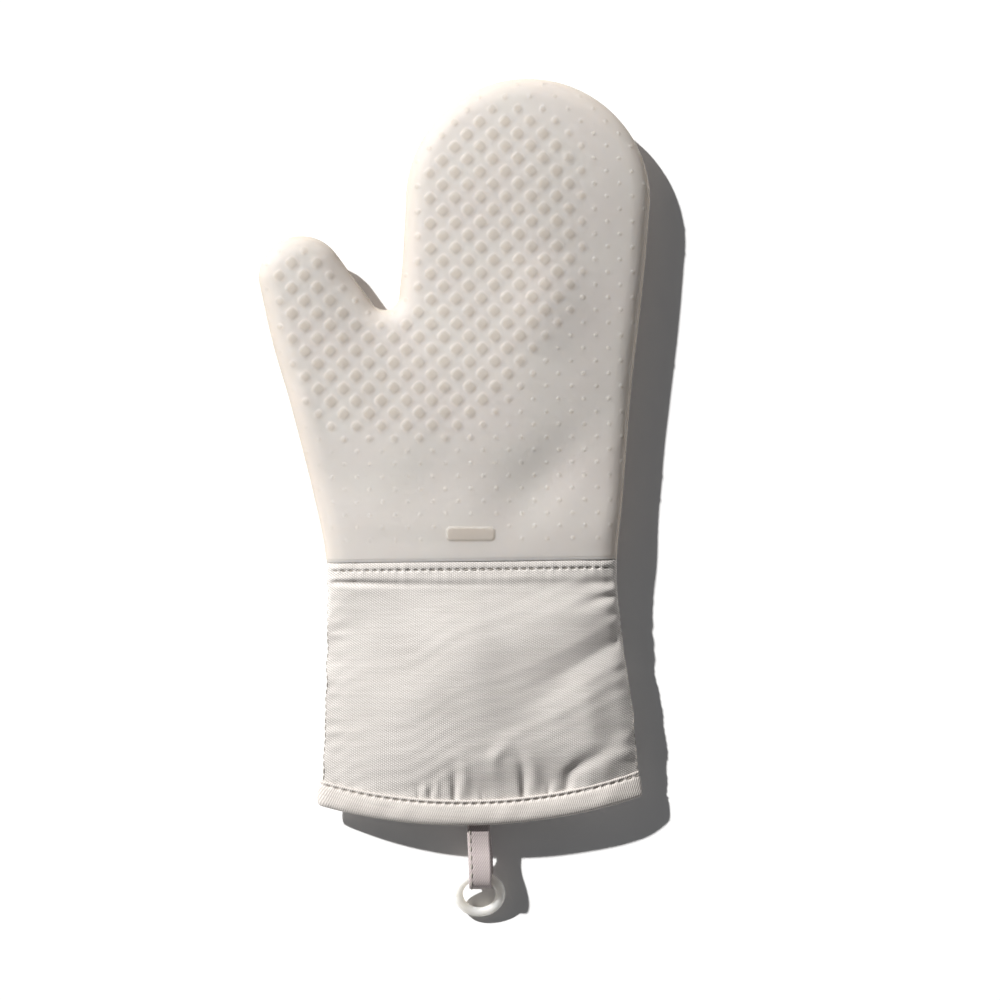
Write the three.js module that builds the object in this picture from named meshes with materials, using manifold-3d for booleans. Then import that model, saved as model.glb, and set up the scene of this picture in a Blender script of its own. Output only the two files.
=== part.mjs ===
// Oven mitt: a moulded silicone glove with a sewn fabric cuff, a bound hem and a hanging ring.
//
// Units are millimetres. The mitt lies on its back: +X runs across the hand away from the thumb,
// +Y runs to the fingertips and +Z points out of the palm. The origin is the bottom centre of the
// whole object's box.
//
// Every layer of the mitt is the same rounded form at another depth below the outer surface. The
// function pillow() makes that form for a depth, and a layer is one pillow less the next one in.

import * as THREE from 'three';
import { ParametricGeometry } from 'three/addons/geometries/ParametricGeometry.js';
import { mergeVertices } from 'three/addons/utils/BufferGeometryUtils.js';
import Module from 'manifold-3d';

const wasm = await Module();
wasm.setup();

// ---------------------------------------------------------------- driving dimensions

const GAP = 0.3; // clear space between neighbouring layers

// Outline, seen from above. Each list holds [y, x] knots of a smooth line.
const FINGERS = { x: 32.7, y: 131.9, radius: 54.0 };
const THUMB = { x: -67.5, y: 97.4, radius: 19.0 };
const RIGHT_EDGE = [
  [-150, 84.4], [-122, 81.7], [-92, 79.1], [-66, 75.2], [-30, 72.0],
  [2, 74.7], [51, 78.6], [97, 83.8], [131.9, 86.7],
];
const LEFT_EDGE = [
  [-150, -59.6], [-94, -57.2], [-60, -56.2], [-33, -56.2], [-18, -57.7],
  [8, -63.6], [43, -72.6], [69, -80.2], [97.4, -86.5],
];
const HAND_INNER_EDGE = [
  [8, -63.6], [25, -60.5], [45, -51.0], [66, -38.5], [83, -29.5],
  [91, -24.0], [105, -22.8], [131.9, -21.3],
];
const THUMB_INNER_EDGE = [[-14, -38], [20, -30], [50, -20], [70, -22], [83, -30.5], [91, -39.3]];
const THUMB_TANGENT = new THREE.Vector2(0.807, 0.59); // outward normal of the thumb's inner side

// Thickness, seen from the side. Each list holds [y, millimetres] knots.
const HALF_THICKNESS = [
  [-150, 7.9], [-127, 8.2], [-90, 10.6], [-50, 12.0], [-20, 12.3], [30, 13.2], [132, 13.3],
];
const THUMB_HALF_THICKNESS = [[-14, 6.5], [15, 10.2], [50, 11.6], [97, 11.4]];
const CUFF_LIFT = { height: 1.9, from: 14, to: -20 }; // the cuff's underside clears the floor
const FLAT_CUT = 0.8; // depth of the flat that the mitt rests on
const SIDE_ROUNDNESS = 2.5; // exponent of the section: 2 is an ellipse, more is boxier
const TIP_ROUNDNESS = 2.6; // the same, for the fingertip and thumb tip seen from the side

// Layers, as depth below the outer surface.
const SHELL_WALL = 1.8;
const FLANGE_DEPTH = 1.1; // the shell's rim is stepped in under the cuff
const CUFF_CLOTH = 0.8;
const BATTING = { hand: [2.1, 3.9], hem: [1.1, 1.9] };
const LINING = { hand: [4.2, 4.8], hem: [2.2, 2.8] };
const TAPER = { wide: -38, thin: -66 }; // rows between which the layers close up towards the hem

// The cuff joint, measured at the cuff's centre line, and the hem.
const SHELL_EDGE_Y = -27.3;
const FLANGE_END_Y = -35;
const SHELL_EDGE_TILT = 0.0128; // radians; the moulded edge isn't quite square to the cuff
const JOINT_STITCH_Y = -30.9;
const CUFF_CENTRE_X = 8;
const HEM_ARC = { x: 4, y: 113.15, seam: 248, edge: 257.2 };
const BINDING_CLOTH = 0.8;
const BINDING_OUTER = -1.1; // the binding stands proud of the cuff
const BINDING_INNER = 3.9;
const THREAD_RADIUS = 0.2;
const HEM_STITCH_INSET = 1.6; // from the binding's upper edge
const SEAM_SLOT = 1.1; // width of the side seams between the cuff panels
const SIDE_SEAM_ROWS = [-33, -50, -66, -90, -108, -123];

// Tape and ring.
const TAPE = { x: 10.9, width: 10.2, ply: 0.9 };
const TAPE_PIVOT = new THREE.Vector3(TAPE.x, -145.6, 12.0);
const TAPE_END_Y = -130.5;
const TAPE_STITCH_INSET = 1.2;
const BAR_TACK = { y: -138, reach: 3.6, swing: 1.6, width: 0.5, turns: 7 };
const RING = { x: 11.0, y: -175.2, z: 5.65, radius: 9.5, section: 1.95, tilt: Math.PI / 8 };

// How finely the forms are faceted.
const SECTION_SIDES = 18;
const THUMB_SIDES = 14;
const HAND_ROWS = [-152, -136, -122, -104, -84, -66, -52, -38, -27, -12, 14, 40, 66, 83, 91, 110];
const FINGERTIP_ROWS = [0, 20, 38, 54, 68, 80, 90]; // degrees round the fingertip arc
const THUMB_ROWS = [-14, 6, 28, 50, 68, 83, 91];
const THUMB_TIP_ROWS = [0, 20, 40, 58, 75, 90];
const HEM_CUT_SIDES = 96;
const LOOP_STEPS = 28;
const NOSE_STEPS = 6;
const RING_SIDES = { round: 28, section: 10 };

const COLOURS = {
  silicone: { color: 0xe1ddd7, roughness: 0.55 },
  cuff: { color: 0xd0ccc6, roughness: 0.9 },
  binding: { color: 0xded8d2, roughness: 0.9 },
  lining: { color: 0xdcd8d0, roughness: 0.95 },
  batting: { color: 0xe8e6e0, roughness: 1.0 },
  thread: { color: 0xe6e2dc, roughness: 0.7 },
  tape: { color: 0xdcd0d0, roughness: 0.85 },
  ring: { color: 0xd8d6cc, roughness: 0.4 },
};

// ---------------------------------------------------------------- helpers

// Smooth line through [position, value] knots (Catmull-Rom on uneven knots), held at both ends.
function along(knots, at) {
  const last = knots.length - 1;
  if (at <= knots[0][0]) return knots[0][1];
  if (at >= knots[last][0]) return knots[last][1];
  const i = knots.findIndex((knot) => knot[0] > at) - 1;
  const slope = (k) => {
    const a = knots[Math.max(k - 1, 0)];
    const b = knots[Math.min(k + 1, last)];
    return (b[1] - a[1]) / (b[0] - a[0]);
  };
  const [y0, v0] = knots[i];
  const [y1, v1] = knots[i + 1];
  const span = y1 - y0;
  const t = (at - y0) / span;
  const ease = t * t * (3 - 2 * t);
  const rise = slope(i) * span * t * (1 - t) * (1 - t);
  const fall = slope(i + 1) * span * t * t * (t - 1);
  return v0 + (v1 - v0) * ease + rise + fall;
}

const signedPower = (value, power) => Math.sign(value) * Math.abs(value) ** power;

const MERGE_DISTANCE = 1e-4;

// Manifold solid of a closed geometry, with its shared vertices merged.
function solidOf(geometry) {
  const bare = geometry.clone();
  bare.deleteAttribute('normal');
  bare.deleteAttribute('uv');
  const merged = mergeVertices(bare, MERGE_DISTANCE);
  const index = merged.index.array;
  const corners = [];
  for (let i = 0; i < index.length; i += 3) {
    const [a, b, c] = [index[i], index[i + 1], index[i + 2]];
    if (a !== b && b !== c && c !== a) corners.push(a, b, c);
  }
  const mesh = new wasm.Mesh({
    numProp: 3,
    vertProperties: new Float32Array(merged.attributes.position.array),
    triVerts: new Uint32Array(corners),
  });
  return new wasm.Manifold(mesh);
}

function geometryOf(solid) {
  const mesh = solid.getMesh();
  const geometry = new THREE.BufferGeometry();
  geometry.setAttribute('position', new THREE.BufferAttribute(new Float32Array(mesh.vertProperties), 3));
  geometry.setIndex(new THREE.BufferAttribute(new Uint32Array(mesh.triVerts), 1));
  geometry.computeVertexNormals();
  return geometry;
}

// ---------------------------------------------------------------- the mitt's form

const liftAt = (y) => CUFF_LIFT.height * (1 - THREE.MathUtils.smoothstep(y, CUFF_LIFT.to, CUFF_LIFT.from));
const midHeight = (y) => liftAt(y) + along(HALF_THICKNESS, y) - FLAT_CUT;

// Depth of a layer at a row: as given for the hand, closing up to the hem's value over the taper.
function depthAt(depth, y) {
  if (typeof depth === 'number') return depth;
  const share = THREE.MathUtils.smoothstep(y, TAPER.thin, TAPER.wide);
  return THREE.MathUtils.lerp(depth.hem, depth.hand, share);
}

// One row across a form: its two sides, half thickness and lowest height, at a depth.
function row(y, left, right, half, depth) {
  const inset = depthAt(depth, y);
  return {
    y,
    centre: (left + right) / 2,
    width: (right - left) / 2 - inset,
    half: half - inset,
    middle: midHeight(y),
    bottom: liftAt(y) + inset,
  };
}

function handRow(y, depth) {
  const left = y > HAND_INNER_EDGE[0][0] ? along(HAND_INNER_EDGE, y) : along(LEFT_EDGE, y);
  return row(y, left, along(RIGHT_EDGE, y), along(HALF_THICKNESS, y), depth);
}

function roundTip(arc, degrees, half, depth) {
  const angle = THREE.MathUtils.degToRad(degrees);
  const radius = arc.radius - depthAt(depth, arc.y);
  const thin = (1 - Math.sin(angle) ** TIP_ROUNDNESS) ** (1 / TIP_ROUNDNESS);
  return {
    y: arc.y + radius * Math.sin(angle),
    centre: arc.x,
    width: radius * Math.cos(angle),
    half: (half - depthAt(depth, arc.y)) * (degrees === 90 ? 0 : thin),
    middle: midHeight(arc.y),
    bottom: depthAt(depth, arc.y),
  };
}

function handRows(depth) {
  const half = along(HALF_THICKNESS, FINGERS.y);
  return [
    ...HAND_ROWS.map((y) => handRow(y, depth)),
    ...FINGERTIP_ROWS.map((degrees) => roundTip(FINGERS, degrees, half, depth)),
  ];
}

function thumbRow(y, depth) {
  return row(y, along(LEFT_EDGE, y), along(THUMB_INNER_EDGE, y), along(THUMB_HALF_THICKNESS, y), depth);
}

// The thumb's tip: its outer side follows the arc and its inner side runs straight to the tangent.
function thumbTipRow(degrees, depth) {
  const half = along(THUMB_HALF_THICKNESS, THUMB.y);
  const tip = roundTip(THUMB, degrees, half, depth);
  const radius = THUMB.radius - depthAt(depth, THUMB.y);
  const reach = (radius - THUMB_TANGENT.y * (tip.y - THUMB.y)) / THUMB_TANGENT.x;
  const beyondTangent = tip.y - THUMB.y > radius * THUMB_TANGENT.y;
  const right = beyondTangent ? tip.width : reach;
  return { ...tip, centre: THUMB.x + (right - tip.width) / 2, width: (right + tip.width) / 2 };
}

function thumbRows(depth) {
  return [
    ...THUMB_ROWS.map((y) => thumbRow(y, depth)),
    ...THUMB_TIP_ROWS.map((degrees) => thumbTipRow(degrees, depth)),
  ];
}

// Point round a row's section, at turn 0 to 1.
function sectionPoint(at, turn, target) {
  const angle = -turn * Math.PI * 2;
  const x = at.centre + at.width * signedPower(Math.cos(angle), 2 / SIDE_ROUNDNESS);
  const z = at.middle + at.half * signedPower(Math.sin(angle), 2 / SIDE_ROUNDNESS);
  return target.set(x, at.y, Math.max(z, at.bottom));
}

// Closed form through rows; its first row is closed with a flat end.
function loft(rows, sides) {
  const end = { ...rows[0], width: 0, half: 0 };
  const all = [end, ...rows];
  const surface = (u, v, target) => {
    const at = all[Math.round(v * (all.length - 1))];
    sectionPoint(at, (Math.round(u * sides) % sides) / sides, target);
  };
  return solidOf(new ParametricGeometry(surface, sides, all.length - 1));
}

const pillowCache = new Map();

function pillow(depth) {
  const key = JSON.stringify(depth);
  if (!pillowCache.has(key)) {
    const hand = loft(handRows(depth), SECTION_SIDES);
    const thumb = loft(thumbRows(depth), THUMB_SIDES);
    pillowCache.set(key, hand.add(thumb));
  }
  return pillowCache.get(key);
}

// ---------------------------------------------------------------- cutting shapes

const CUT_SIZE = 500;

// Everything on the fingers' side of the moulded edge, moved to a row at the cuff's centre line.
function towardsFingers(y) {
  const box = new THREE.BoxGeometry(CUT_SIZE, CUT_SIZE, CUT_SIZE);
  box.translate(0, CUT_SIZE / 2, 0);
  box.rotateZ(SHELL_EDGE_TILT);
  box.translate(CUFF_CENTRE_X, y, 0);
  return solidOf(box);
}

// Everything on the fingers' side of an arc that runs round the hem.
function insideHem(radius) {
  const disc = new THREE.CylinderGeometry(radius, radius, CUT_SIZE, HEM_CUT_SIDES);
  disc.rotateX(Math.PI / 2);
  disc.translate(HEM_ARC.x, HEM_ARC.y, 0);
  return solidOf(disc);
}

// Thin sheet along the mitt's middle height, which parts front from back.
function middleSheet(thickness) {
  const rows = [...HAND_ROWS, FINGERS.y, FINGERS.y + 2 * FINGERS.radius];
  const corners = [[1, -1], [-1, -1], [-1, 1], [1, 1]];
  const all = [null, ...rows, null];
  const surface = (u, v, target) => {
    const i = Math.round(v * (all.length - 1));
    const y = all[i] ?? (i === 0 ? rows[0] : rows[rows.length - 1]);
    const size = all[i] === null ? 0 : 1;
    const [side, rise] = corners[Math.round(u * 4) % 4];
    target.set((side * size * CUT_SIZE) / 2, y, midHeight(y) + (rise * size * thickness) / 2);
  };
  return solidOf(new ParametricGeometry(surface, 4, all.length - 1));
}

const SCRAP_VOLUME = 1; // anything smaller that a cut leaves is waste

// The front and back halves of a layer, with a gap along its middle.
function frontAndBack(layer, gap) {
  const halves = layer.subtract(middleSheet(gap)).decompose();
  const tall = (half) => half.boundingBox().max[2];
  halves.sort((a, b) => tall(b) - tall(a));
  return halves.filter((half) => half.volume() > SCRAP_VOLUME);
}

// ---------------------------------------------------------------- layers of the mitt

function makeShell() {
  const outside = pillow(0).intersect(towardsFingers(SHELL_EDGE_Y));
  const flange = pillow(FLANGE_DEPTH).intersect(towardsFingers(FLANGE_END_Y));
  return outside.add(flange).subtract(pillow(SHELL_WALL));
}

function makeLayer(layer) {
  const outer = { hand: layer.hand[0], hem: layer.hem[0] };
  const inner = { hand: layer.hand[1], hem: layer.hem[1] };
  const whole = pillow(outer).subtract(pillow(inner));
  return whole.intersect(insideHem(HEM_ARC.edge - BINDING_CLOTH - GAP));
}

function makeCuff() {
  const whole = pillow(0).subtract(pillow(CUFF_CLOTH));
  const hemmed = whole.intersect(insideHem(HEM_ARC.edge - BINDING_CLOTH - GAP));
  return hemmed.subtract(towardsFingers(SHELL_EDGE_Y - GAP));
}

function makeBinding() {
  const band = pillow(BINDING_OUTER).intersect(insideHem(HEM_ARC.edge)).subtract(insideHem(HEM_ARC.seam));
  const slot = pillow(BINDING_OUTER + BINDING_CLOTH).subtract(pillow(BINDING_INNER - BINDING_CLOTH));
  const channel = slot.intersect(insideHem(HEM_ARC.edge - BINDING_CLOTH));
  return band.subtract(channel).subtract(pillow(BINDING_INNER));
}

// ---------------------------------------------------------------- threads

// Loop of thread lying GAP outside a layer, along a row that may bend with x.
function threadLoop(rowAt, depth) {
  const sides = 4;
  const middle = depth - GAP - THREAD_RADIUS;
  const point = new THREE.Vector3();
  const surface = (u, v, target) => {
    const turn = (Math.round(u * SECTION_SIDES) % SECTION_SIDES) / SECTION_SIDES;
    const angle = ((Math.round(v * sides) % sides) / sides) * Math.PI * 2;
    const shift = THREAD_RADIUS * Math.sin(angle);
    sectionPoint(handRow(rowAt(CUFF_CENTRE_X), middle), turn, point);
    const y = rowAt(point.x) + shift;
    sectionPoint(handRow(y, middle - THREAD_RADIUS * Math.cos(angle)), turn, target);
  };
  return solidOf(new ParametricGeometry(surface, SECTION_SIDES, sides));
}

function makeJointStitch() {
  const slope = Math.tan(SHELL_EDGE_TILT);
  return threadLoop((x) => JOINT_STITCH_Y + slope * (x - CUFF_CENTRE_X), 0);
}

function makeHemStitch() {
  const radius = HEM_ARC.seam + HEM_STITCH_INSET;
  const rowAt = (x) => HEM_ARC.y - Math.sqrt(radius ** 2 - (x - HEM_ARC.x) ** 2);
  return threadLoop(rowAt, BINDING_OUTER);
}

// Thread in the slot between the cuff panels, along one side.
function makeSideSeam(edge, inward) {
  const inset = (inward * CUFF_CLOTH) / 2;
  const points = SIDE_SEAM_ROWS.map((y) => new THREE.Vector3(along(edge, y) + inset, y, midHeight(y)));
  const section = new THREE.Shape().absarc(0, 0, THREAD_RADIUS, 0, Math.PI * 2);
  const path = new THREE.CatmullRomCurve3(points);
  const options = { extrudePath: path, steps: 12, curveSegments: 6, bevelEnabled: false };
  return solidOf(new THREE.ExtrudeGeometry(section, options));
}

// ---------------------------------------------------------------- tape and ring

const ringPivot = new THREE.Vector3(
  RING.x,
  RING.y + RING.radius * Math.cos(RING.tilt),
  RING.z + RING.radius * Math.sin(RING.tilt),
);
const tapeDrop = Math.atan2(TAPE_PIVOT.z - ringPivot.z, TAPE_PIVOT.y - ringPivot.y);

// The loop's middle line seen from the side: distance from the pivot, and half height.
const LOOP_LINE = [[0, 0.45], [5, 0.47], [9.5, 1.25], [14.5, 3.3], [19.5, 4.3], [23.5, 3.75], [25.7, 1.9]];
const LOOP_REACH = 26.25;
const LOOP_OPENING = { from: 0.16, to: 0.84 }; // shares of its length where the two plies part
const TAPE_STITCH_SPAN = { from: 0.04, to: 0.96 };

function loopCurve() {
  const upper = LOOP_LINE.map(([x, y]) => new THREE.Vector2(x, y));
  const lower = LOOP_LINE.map(([x, y]) => new THREE.Vector2(x, -y)).reverse();
  return new THREE.SplineCurve([...upper, new THREE.Vector2(LOOP_REACH, 0), ...lower]);
}

// Points beside the loop's middle line, between two shares of its length.
function besideLoop(offset, from, to, steps) {
  const curve = loopCurve();
  const points = [];
  for (let i = 0; i <= steps; i += 1) {
    const share = from + ((to - from) * i) / steps;
    const tangent = curve.getTangentAt(share);
    const place = curve.getPointAt(share);
    points.push(new THREE.Vector2(place.x - tangent.y * offset, place.y + tangent.x * offset));
  }
  return points;
}

// Solid with a side-view shape, standing across the tape from one x to another.
function acrossTape(shape, fromX, toX) {
  const body = new THREE.ExtrudeGeometry(shape, { depth: toX - fromX, bevelEnabled: false });
  const outward = new THREE.Vector3(0, -Math.cos(tapeDrop), -Math.sin(tapeDrop));
  const upward = new THREE.Vector3(0, -Math.sin(tapeDrop), Math.cos(tapeDrop));
  const sideways = new THREE.Vector3().crossVectors(outward, upward);
  body.applyMatrix4(new THREE.Matrix4().makeBasis(outward, upward, sideways));
  body.translate(toX, TAPE_PIVOT.y, TAPE_PIVOT.z);
  return solidOf(body);
}

function makeTape() {
  const half = TAPE.ply / 2;
  const nose = Array.from({ length: NOSE_STEPS - 1 }, (_, i) => {
    const angle = -Math.PI / 2 - ((i + 1) * Math.PI) / NOSE_STEPS;
    return new THREE.Vector2(TAPE.ply * Math.cos(angle), TAPE.ply * Math.sin(angle));
  });
  const outline = new THREE.Shape([...besideLoop(half, 0, 1, LOOP_STEPS), ...nose]);
  const opening = besideLoop(-half, LOOP_OPENING.from, LOOP_OPENING.to, LOOP_STEPS - NOSE_STEPS);
  outline.holes.push(new THREE.Path(opening.reverse())); // a hole runs the other way round
  return acrossTape(outline, TAPE.x - TAPE.width / 2, TAPE.x + TAPE.width / 2);
}

function makeTapeStitch() {
  const near = TAPE.ply / 2 + GAP;
  const { from, to } = TAPE_STITCH_SPAN;
  const outside = besideLoop(near + 2 * THREAD_RADIUS, from, to, LOOP_STEPS);
  const inside = besideLoop(near, from, to, LOOP_STEPS).reverse();
  const x = TAPE.x - TAPE.width / 2 + TAPE_STITCH_INSET;
  return acrossTape(new THREE.Shape([...outside, ...inside]), x, x + 2 * THREAD_RADIUS);
}

function makeSewnEnd() {
  const start = TAPE_PIVOT.y + TAPE.ply + GAP;
  const body = new THREE.BoxGeometry(TAPE.width, TAPE_END_Y - start, 2 * TAPE.ply);
  body.translate(TAPE.x, (TAPE_END_Y + start) / 2, TAPE_PIVOT.z);
  return solidOf(body);
}

// Zigzag of thread under the sewn end.
function makeBarTack() {
  const { y, reach, swing, width, turns } = BAR_TACK;
  const side = (shift) => Array.from({ length: turns }, (_, i) => {
    const share = i / (turns - 1);
    return new THREE.Vector2(TAPE.x - reach + 2 * reach * share, y + shift + (i % 2 ? swing : -swing));
  });
  const outline = new THREE.Shape([...side(-width / 2), ...side(width / 2).reverse()]);
  const body = new THREE.ExtrudeGeometry(outline, { depth: 2 * THREAD_RADIUS, bevelEnabled: false });
  body.translate(0, 0, TAPE_PIVOT.z - TAPE.ply - GAP - 2 * THREAD_RADIUS);
  return solidOf(body);
}

function makeRing() {
  const ring = new THREE.TorusGeometry(RING.radius, RING.section, RING_SIDES.section, RING_SIDES.round);
  ring.rotateX(RING.tilt);
  ring.translate(RING.x, RING.y, RING.z);
  return solidOf(ring);
}

// ---------------------------------------------------------------- assembly

const mitt = new THREE.Group();

function addPiece(group, name, solid, look) {
  const material = new THREE.MeshStandardMaterial({ metalness: 0, ...COLOURS[look] });
  const mesh = new THREE.Mesh(geometryOf(solid), material);
  mesh.name = name;
  group.add(mesh);
}

function addHalves(group, name, layer, gap, look) {
  const [front, back] = frontAndBack(layer, gap);
  addPiece(group, name.replace('SIDE', 'front'), front, look);
  addPiece(group, name.replace('SIDE', 'back'), back, look);
}

const body = new THREE.Group();
const tape = new THREE.Group();
mitt.add(body, tape);

addPiece(body, 'silicone_shell', makeShell(), 'silicone');
addHalves(body, 'batting_SIDE', makeLayer(BATTING), GAP, 'batting');
addHalves(body, 'lining_SIDE', makeLayer(LINING), GAP, 'lining');
addHalves(body, 'cuff_SIDE_panel', makeCuff(), SEAM_SLOT, 'cuff');
addPiece(body, 'hem_binding', makeBinding(), 'binding');
addPiece(body, 'joint_stitch_thread', makeJointStitch(), 'thread');
addPiece(body, 'hem_stitch_thread', makeHemStitch(), 'thread');
addPiece(body, 'side_seam_thread_left', makeSideSeam(LEFT_EDGE, 1), 'thread');
addPiece(body, 'side_seam_thread_right', makeSideSeam(RIGHT_EDGE, -1), 'thread');
addPiece(body, 'tape_sewn_end', makeSewnEnd(), 'tape');
addPiece(body, 'tape_bar_tack_thread', makeBarTack(), 'thread');
addPiece(tape, 'hanging_tape', makeTape(), 'tape');
addPiece(tape, 'tape_stitch_thread', makeTapeStitch(), 'thread');
addPiece(tape, 'hanging_ring', makeRing(), 'ring');

export default mitt;
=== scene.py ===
"""Oven mitt: a moulded silicone hand with grip bumps, a twill cuff, a bound hem, a tape and a ring.

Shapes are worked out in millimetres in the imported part's frame, and make_piece() turns them into
metres. Every layer follows one pillow form: a mid-height, and a half thickness at each (x, y).
"""

import math

import bmesh
import bpy
import numpy as np
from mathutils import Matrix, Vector


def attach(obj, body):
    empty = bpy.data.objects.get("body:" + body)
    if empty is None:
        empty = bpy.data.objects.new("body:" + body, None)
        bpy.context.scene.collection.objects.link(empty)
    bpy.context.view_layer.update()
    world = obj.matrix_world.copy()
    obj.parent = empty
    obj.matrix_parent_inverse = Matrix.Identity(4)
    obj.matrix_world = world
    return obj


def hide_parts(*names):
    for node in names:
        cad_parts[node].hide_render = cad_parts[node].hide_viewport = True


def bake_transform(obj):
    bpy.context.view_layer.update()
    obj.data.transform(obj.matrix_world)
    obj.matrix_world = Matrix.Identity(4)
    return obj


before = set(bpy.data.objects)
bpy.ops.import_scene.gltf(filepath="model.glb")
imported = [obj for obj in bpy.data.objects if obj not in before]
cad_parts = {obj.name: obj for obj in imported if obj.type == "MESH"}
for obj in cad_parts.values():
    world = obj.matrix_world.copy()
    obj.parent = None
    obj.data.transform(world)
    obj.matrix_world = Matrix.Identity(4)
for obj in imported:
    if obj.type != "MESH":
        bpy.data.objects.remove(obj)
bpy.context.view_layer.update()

MM = 0.001

# ---------------------------------------------------------------- driving dimensions, as in the part

FINGERS = (32.7, 131.9, 54.0)  # centre and radius of the fingertip arc
THUMB = (-67.5, 97.4, 19.0)
CROTCH = (-30.7, 90.2, 6.5)
THUMB_SIDE_DEGREES = 36.2  # where the thumb's straight inner side leaves its arc
RIGHT_EDGE = [
    (-150, 84.4), (-122, 81.7), (-92, 79.1), (-66, 75.2), (-30, 72.0),
    (2, 74.7), (51, 78.6), (97, 83.8), (131.9, 86.7),
]
LEFT_EDGE = [
    (-150, -59.6), (-94, -57.2), (-60, -56.2), (-33, -56.2), (-18, -57.7),
    (8, -63.6), (43, -72.6), (69, -80.2), (97.4, -86.5),
]
HAND_INNER_EDGE = [(90.2, -24.2), (105, -22.8), (131.9, -21.3)]
HALF_THICKNESS = [
    (-150, 7.9), (-127, 8.2), (-90, 10.6), (-50, 12.0), (-20, 12.3), (30, 13.2), (132, 13.3),
]
CUFF_LIFT = 1.9
FLAT_CUT = 0.8
SHELL_EDGE_Y = -27.3
FLANGE_END_Y = -35.0
EDGE_TILT = 0.0128
JOINT_STITCH_Y = -30.9
CUFF_CENTRE_X = 8.0
HEM_ARC = (4.0, 113.15)
SEAM_RADIUS = 248.0
TAPE_X, TAPE_WIDTH, TAPE_PLY = 10.9, 10.2, 0.9
TAPE_PIVOT = np.array([TAPE_X, -145.6, 12.0])
TAPE_END_Y = -130.5
RING_CENTRE = np.array([11.0, -175.2, 5.65])
RING_RADIUS, RING_TILT = 9.5, math.radians(22.5)

# ---------------------------------------------------------------- numbers and meshes


def smoothstep(x, low, high):
    t = np.clip((np.asarray(x, float) - low) / (high - low), 0, 1)
    return t * t * (3 - 2 * t)


def along(knots, at):
    """Smooth line through (position, value) knots, held at both ends."""
    y, v = np.array(knots, float).T
    before, after = np.maximum(np.arange(len(y)) - 1, 0), np.minimum(np.arange(len(y)) + 1, len(y) - 1)
    slope = (v[after] - v[before]) / (y[after] - y[before])
    at = np.clip(at, y[0], y[-1])
    i = np.clip(np.searchsorted(y, at, side="right") - 1, 0, len(y) - 2)
    span = y[i + 1] - y[i]
    t = (at - y[i]) / span
    ease = v[i] + (v[i + 1] - v[i]) * t * t * (3 - 2 * t)
    return ease + slope[i] * span * t * (1 - t) ** 2 + slope[i + 1] * span * t * t * (t - 1)


def unit(vectors):
    return vectors / np.maximum(np.linalg.norm(vectors, axis=-1, keepdims=True), 1e-9)


def add_object(name, data):
    """The scene's object for a mesh, camera or light."""
    thing = bpy.data.objects.new(name, data)
    bpy.context.scene.collection.objects.link(thing)
    return thing


def make_piece(name, points, faces, material, body, **attributes):
    """Smooth mesh object from points in millimetres, riding on a body if one is given.

    Attributes are one value a point."""
    mesh = bpy.data.meshes.new(name)
    mesh.from_pydata((np.asarray(points) * MM).tolist(), [], [list(map(int, f)) for f in faces])
    mesh.validate()
    mesh.materials.append(material)
    mesh.shade_smooth()
    for key, values in attributes.items():
        values = np.asarray(values, np.float32)
        kind, field = ("FLOAT", "value") if values.ndim == 1 else ("FLOAT_VECTOR", "vector")
        layer = mesh.attributes.new(key, kind, "POINT")
        layer.data.foreach_set(field, values.ravel())
    piece = add_object(name, mesh)
    if body:
        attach(piece, body)
    return piece


def apply_modifiers(piece):
    """Bakes the piece's modifiers into its mesh."""
    graph = bpy.context.evaluated_depsgraph_get()
    mesh = bpy.data.meshes.new_from_object(piece.evaluated_get(graph))
    piece.modifiers.clear()
    piece.data = mesh


LEAST_THICKNESS = 0.08  # share of a sheet's thickness that it keeps where it's thinnest


def thicken(piece, thickness, share=None):
    """Gives a sheet its thickness, inwards. share is how much of it each point has."""
    solid = piece.modifiers.new("thickness", "SOLIDIFY")
    if share is not None:
        group = piece.vertex_groups.new(name="thickness")
        for k, weight in enumerate(share.ravel().tolist()):
            group.add([k], weight, "REPLACE")
        solid.vertex_group = group.name
        solid.thickness_vertex_group = LEAST_THICKNESS
    solid.thickness = thickness * MM
    solid.offset = -1.0
    solid.use_even_offset = False
    apply_modifiers(piece)


def face_outwards(piece):
    """Turns every face of a closed piece outwards."""
    bm = bmesh.new()
    bm.from_mesh(piece.data)
    bmesh.ops.recalc_face_normals(bm, faces=bm.faces[:])
    bm.to_mesh(piece.data)
    bm.free()


def grid_faces(rows, columns, closed=False):
    """Quads of a grid of points stored row by row; closed joins the last column to the first."""
    across = columns if closed else columns - 1
    i, j = np.meshgrid(np.arange(rows - 1), np.arange(across), indexing="ij")
    a, b = i * columns + j, i * columns + (j + 1) % columns
    return np.stack([a, b, b + columns, a + columns], -1).reshape(-1, 4)


def grid_normals(points):
    """Unit normals of a (rows, columns, 3) grid of points."""
    return unit(np.cross(np.gradient(points, axis=1), np.gradient(points, axis=0)))


# ---------------------------------------------------------------- the mitt's outline


def arc(circle, start, end, step=2.0):
    """Points round a circle from one angle to another, in degrees."""
    x, y, radius = circle
    count = int(abs(math.radians(end - start)) * radius / step) + 2
    angles = np.radians(np.linspace(start, end, count))
    return np.stack([x + radius * np.cos(angles), y + radius * np.sin(angles)], -1)


def side_line(knots, start, end, step=3.0):
    y = np.linspace(start, end, int(abs(end - start) / step) + 2)
    return np.stack([along(knots, y), y], -1)


BELOW_HEM_Y = -185.0


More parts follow.
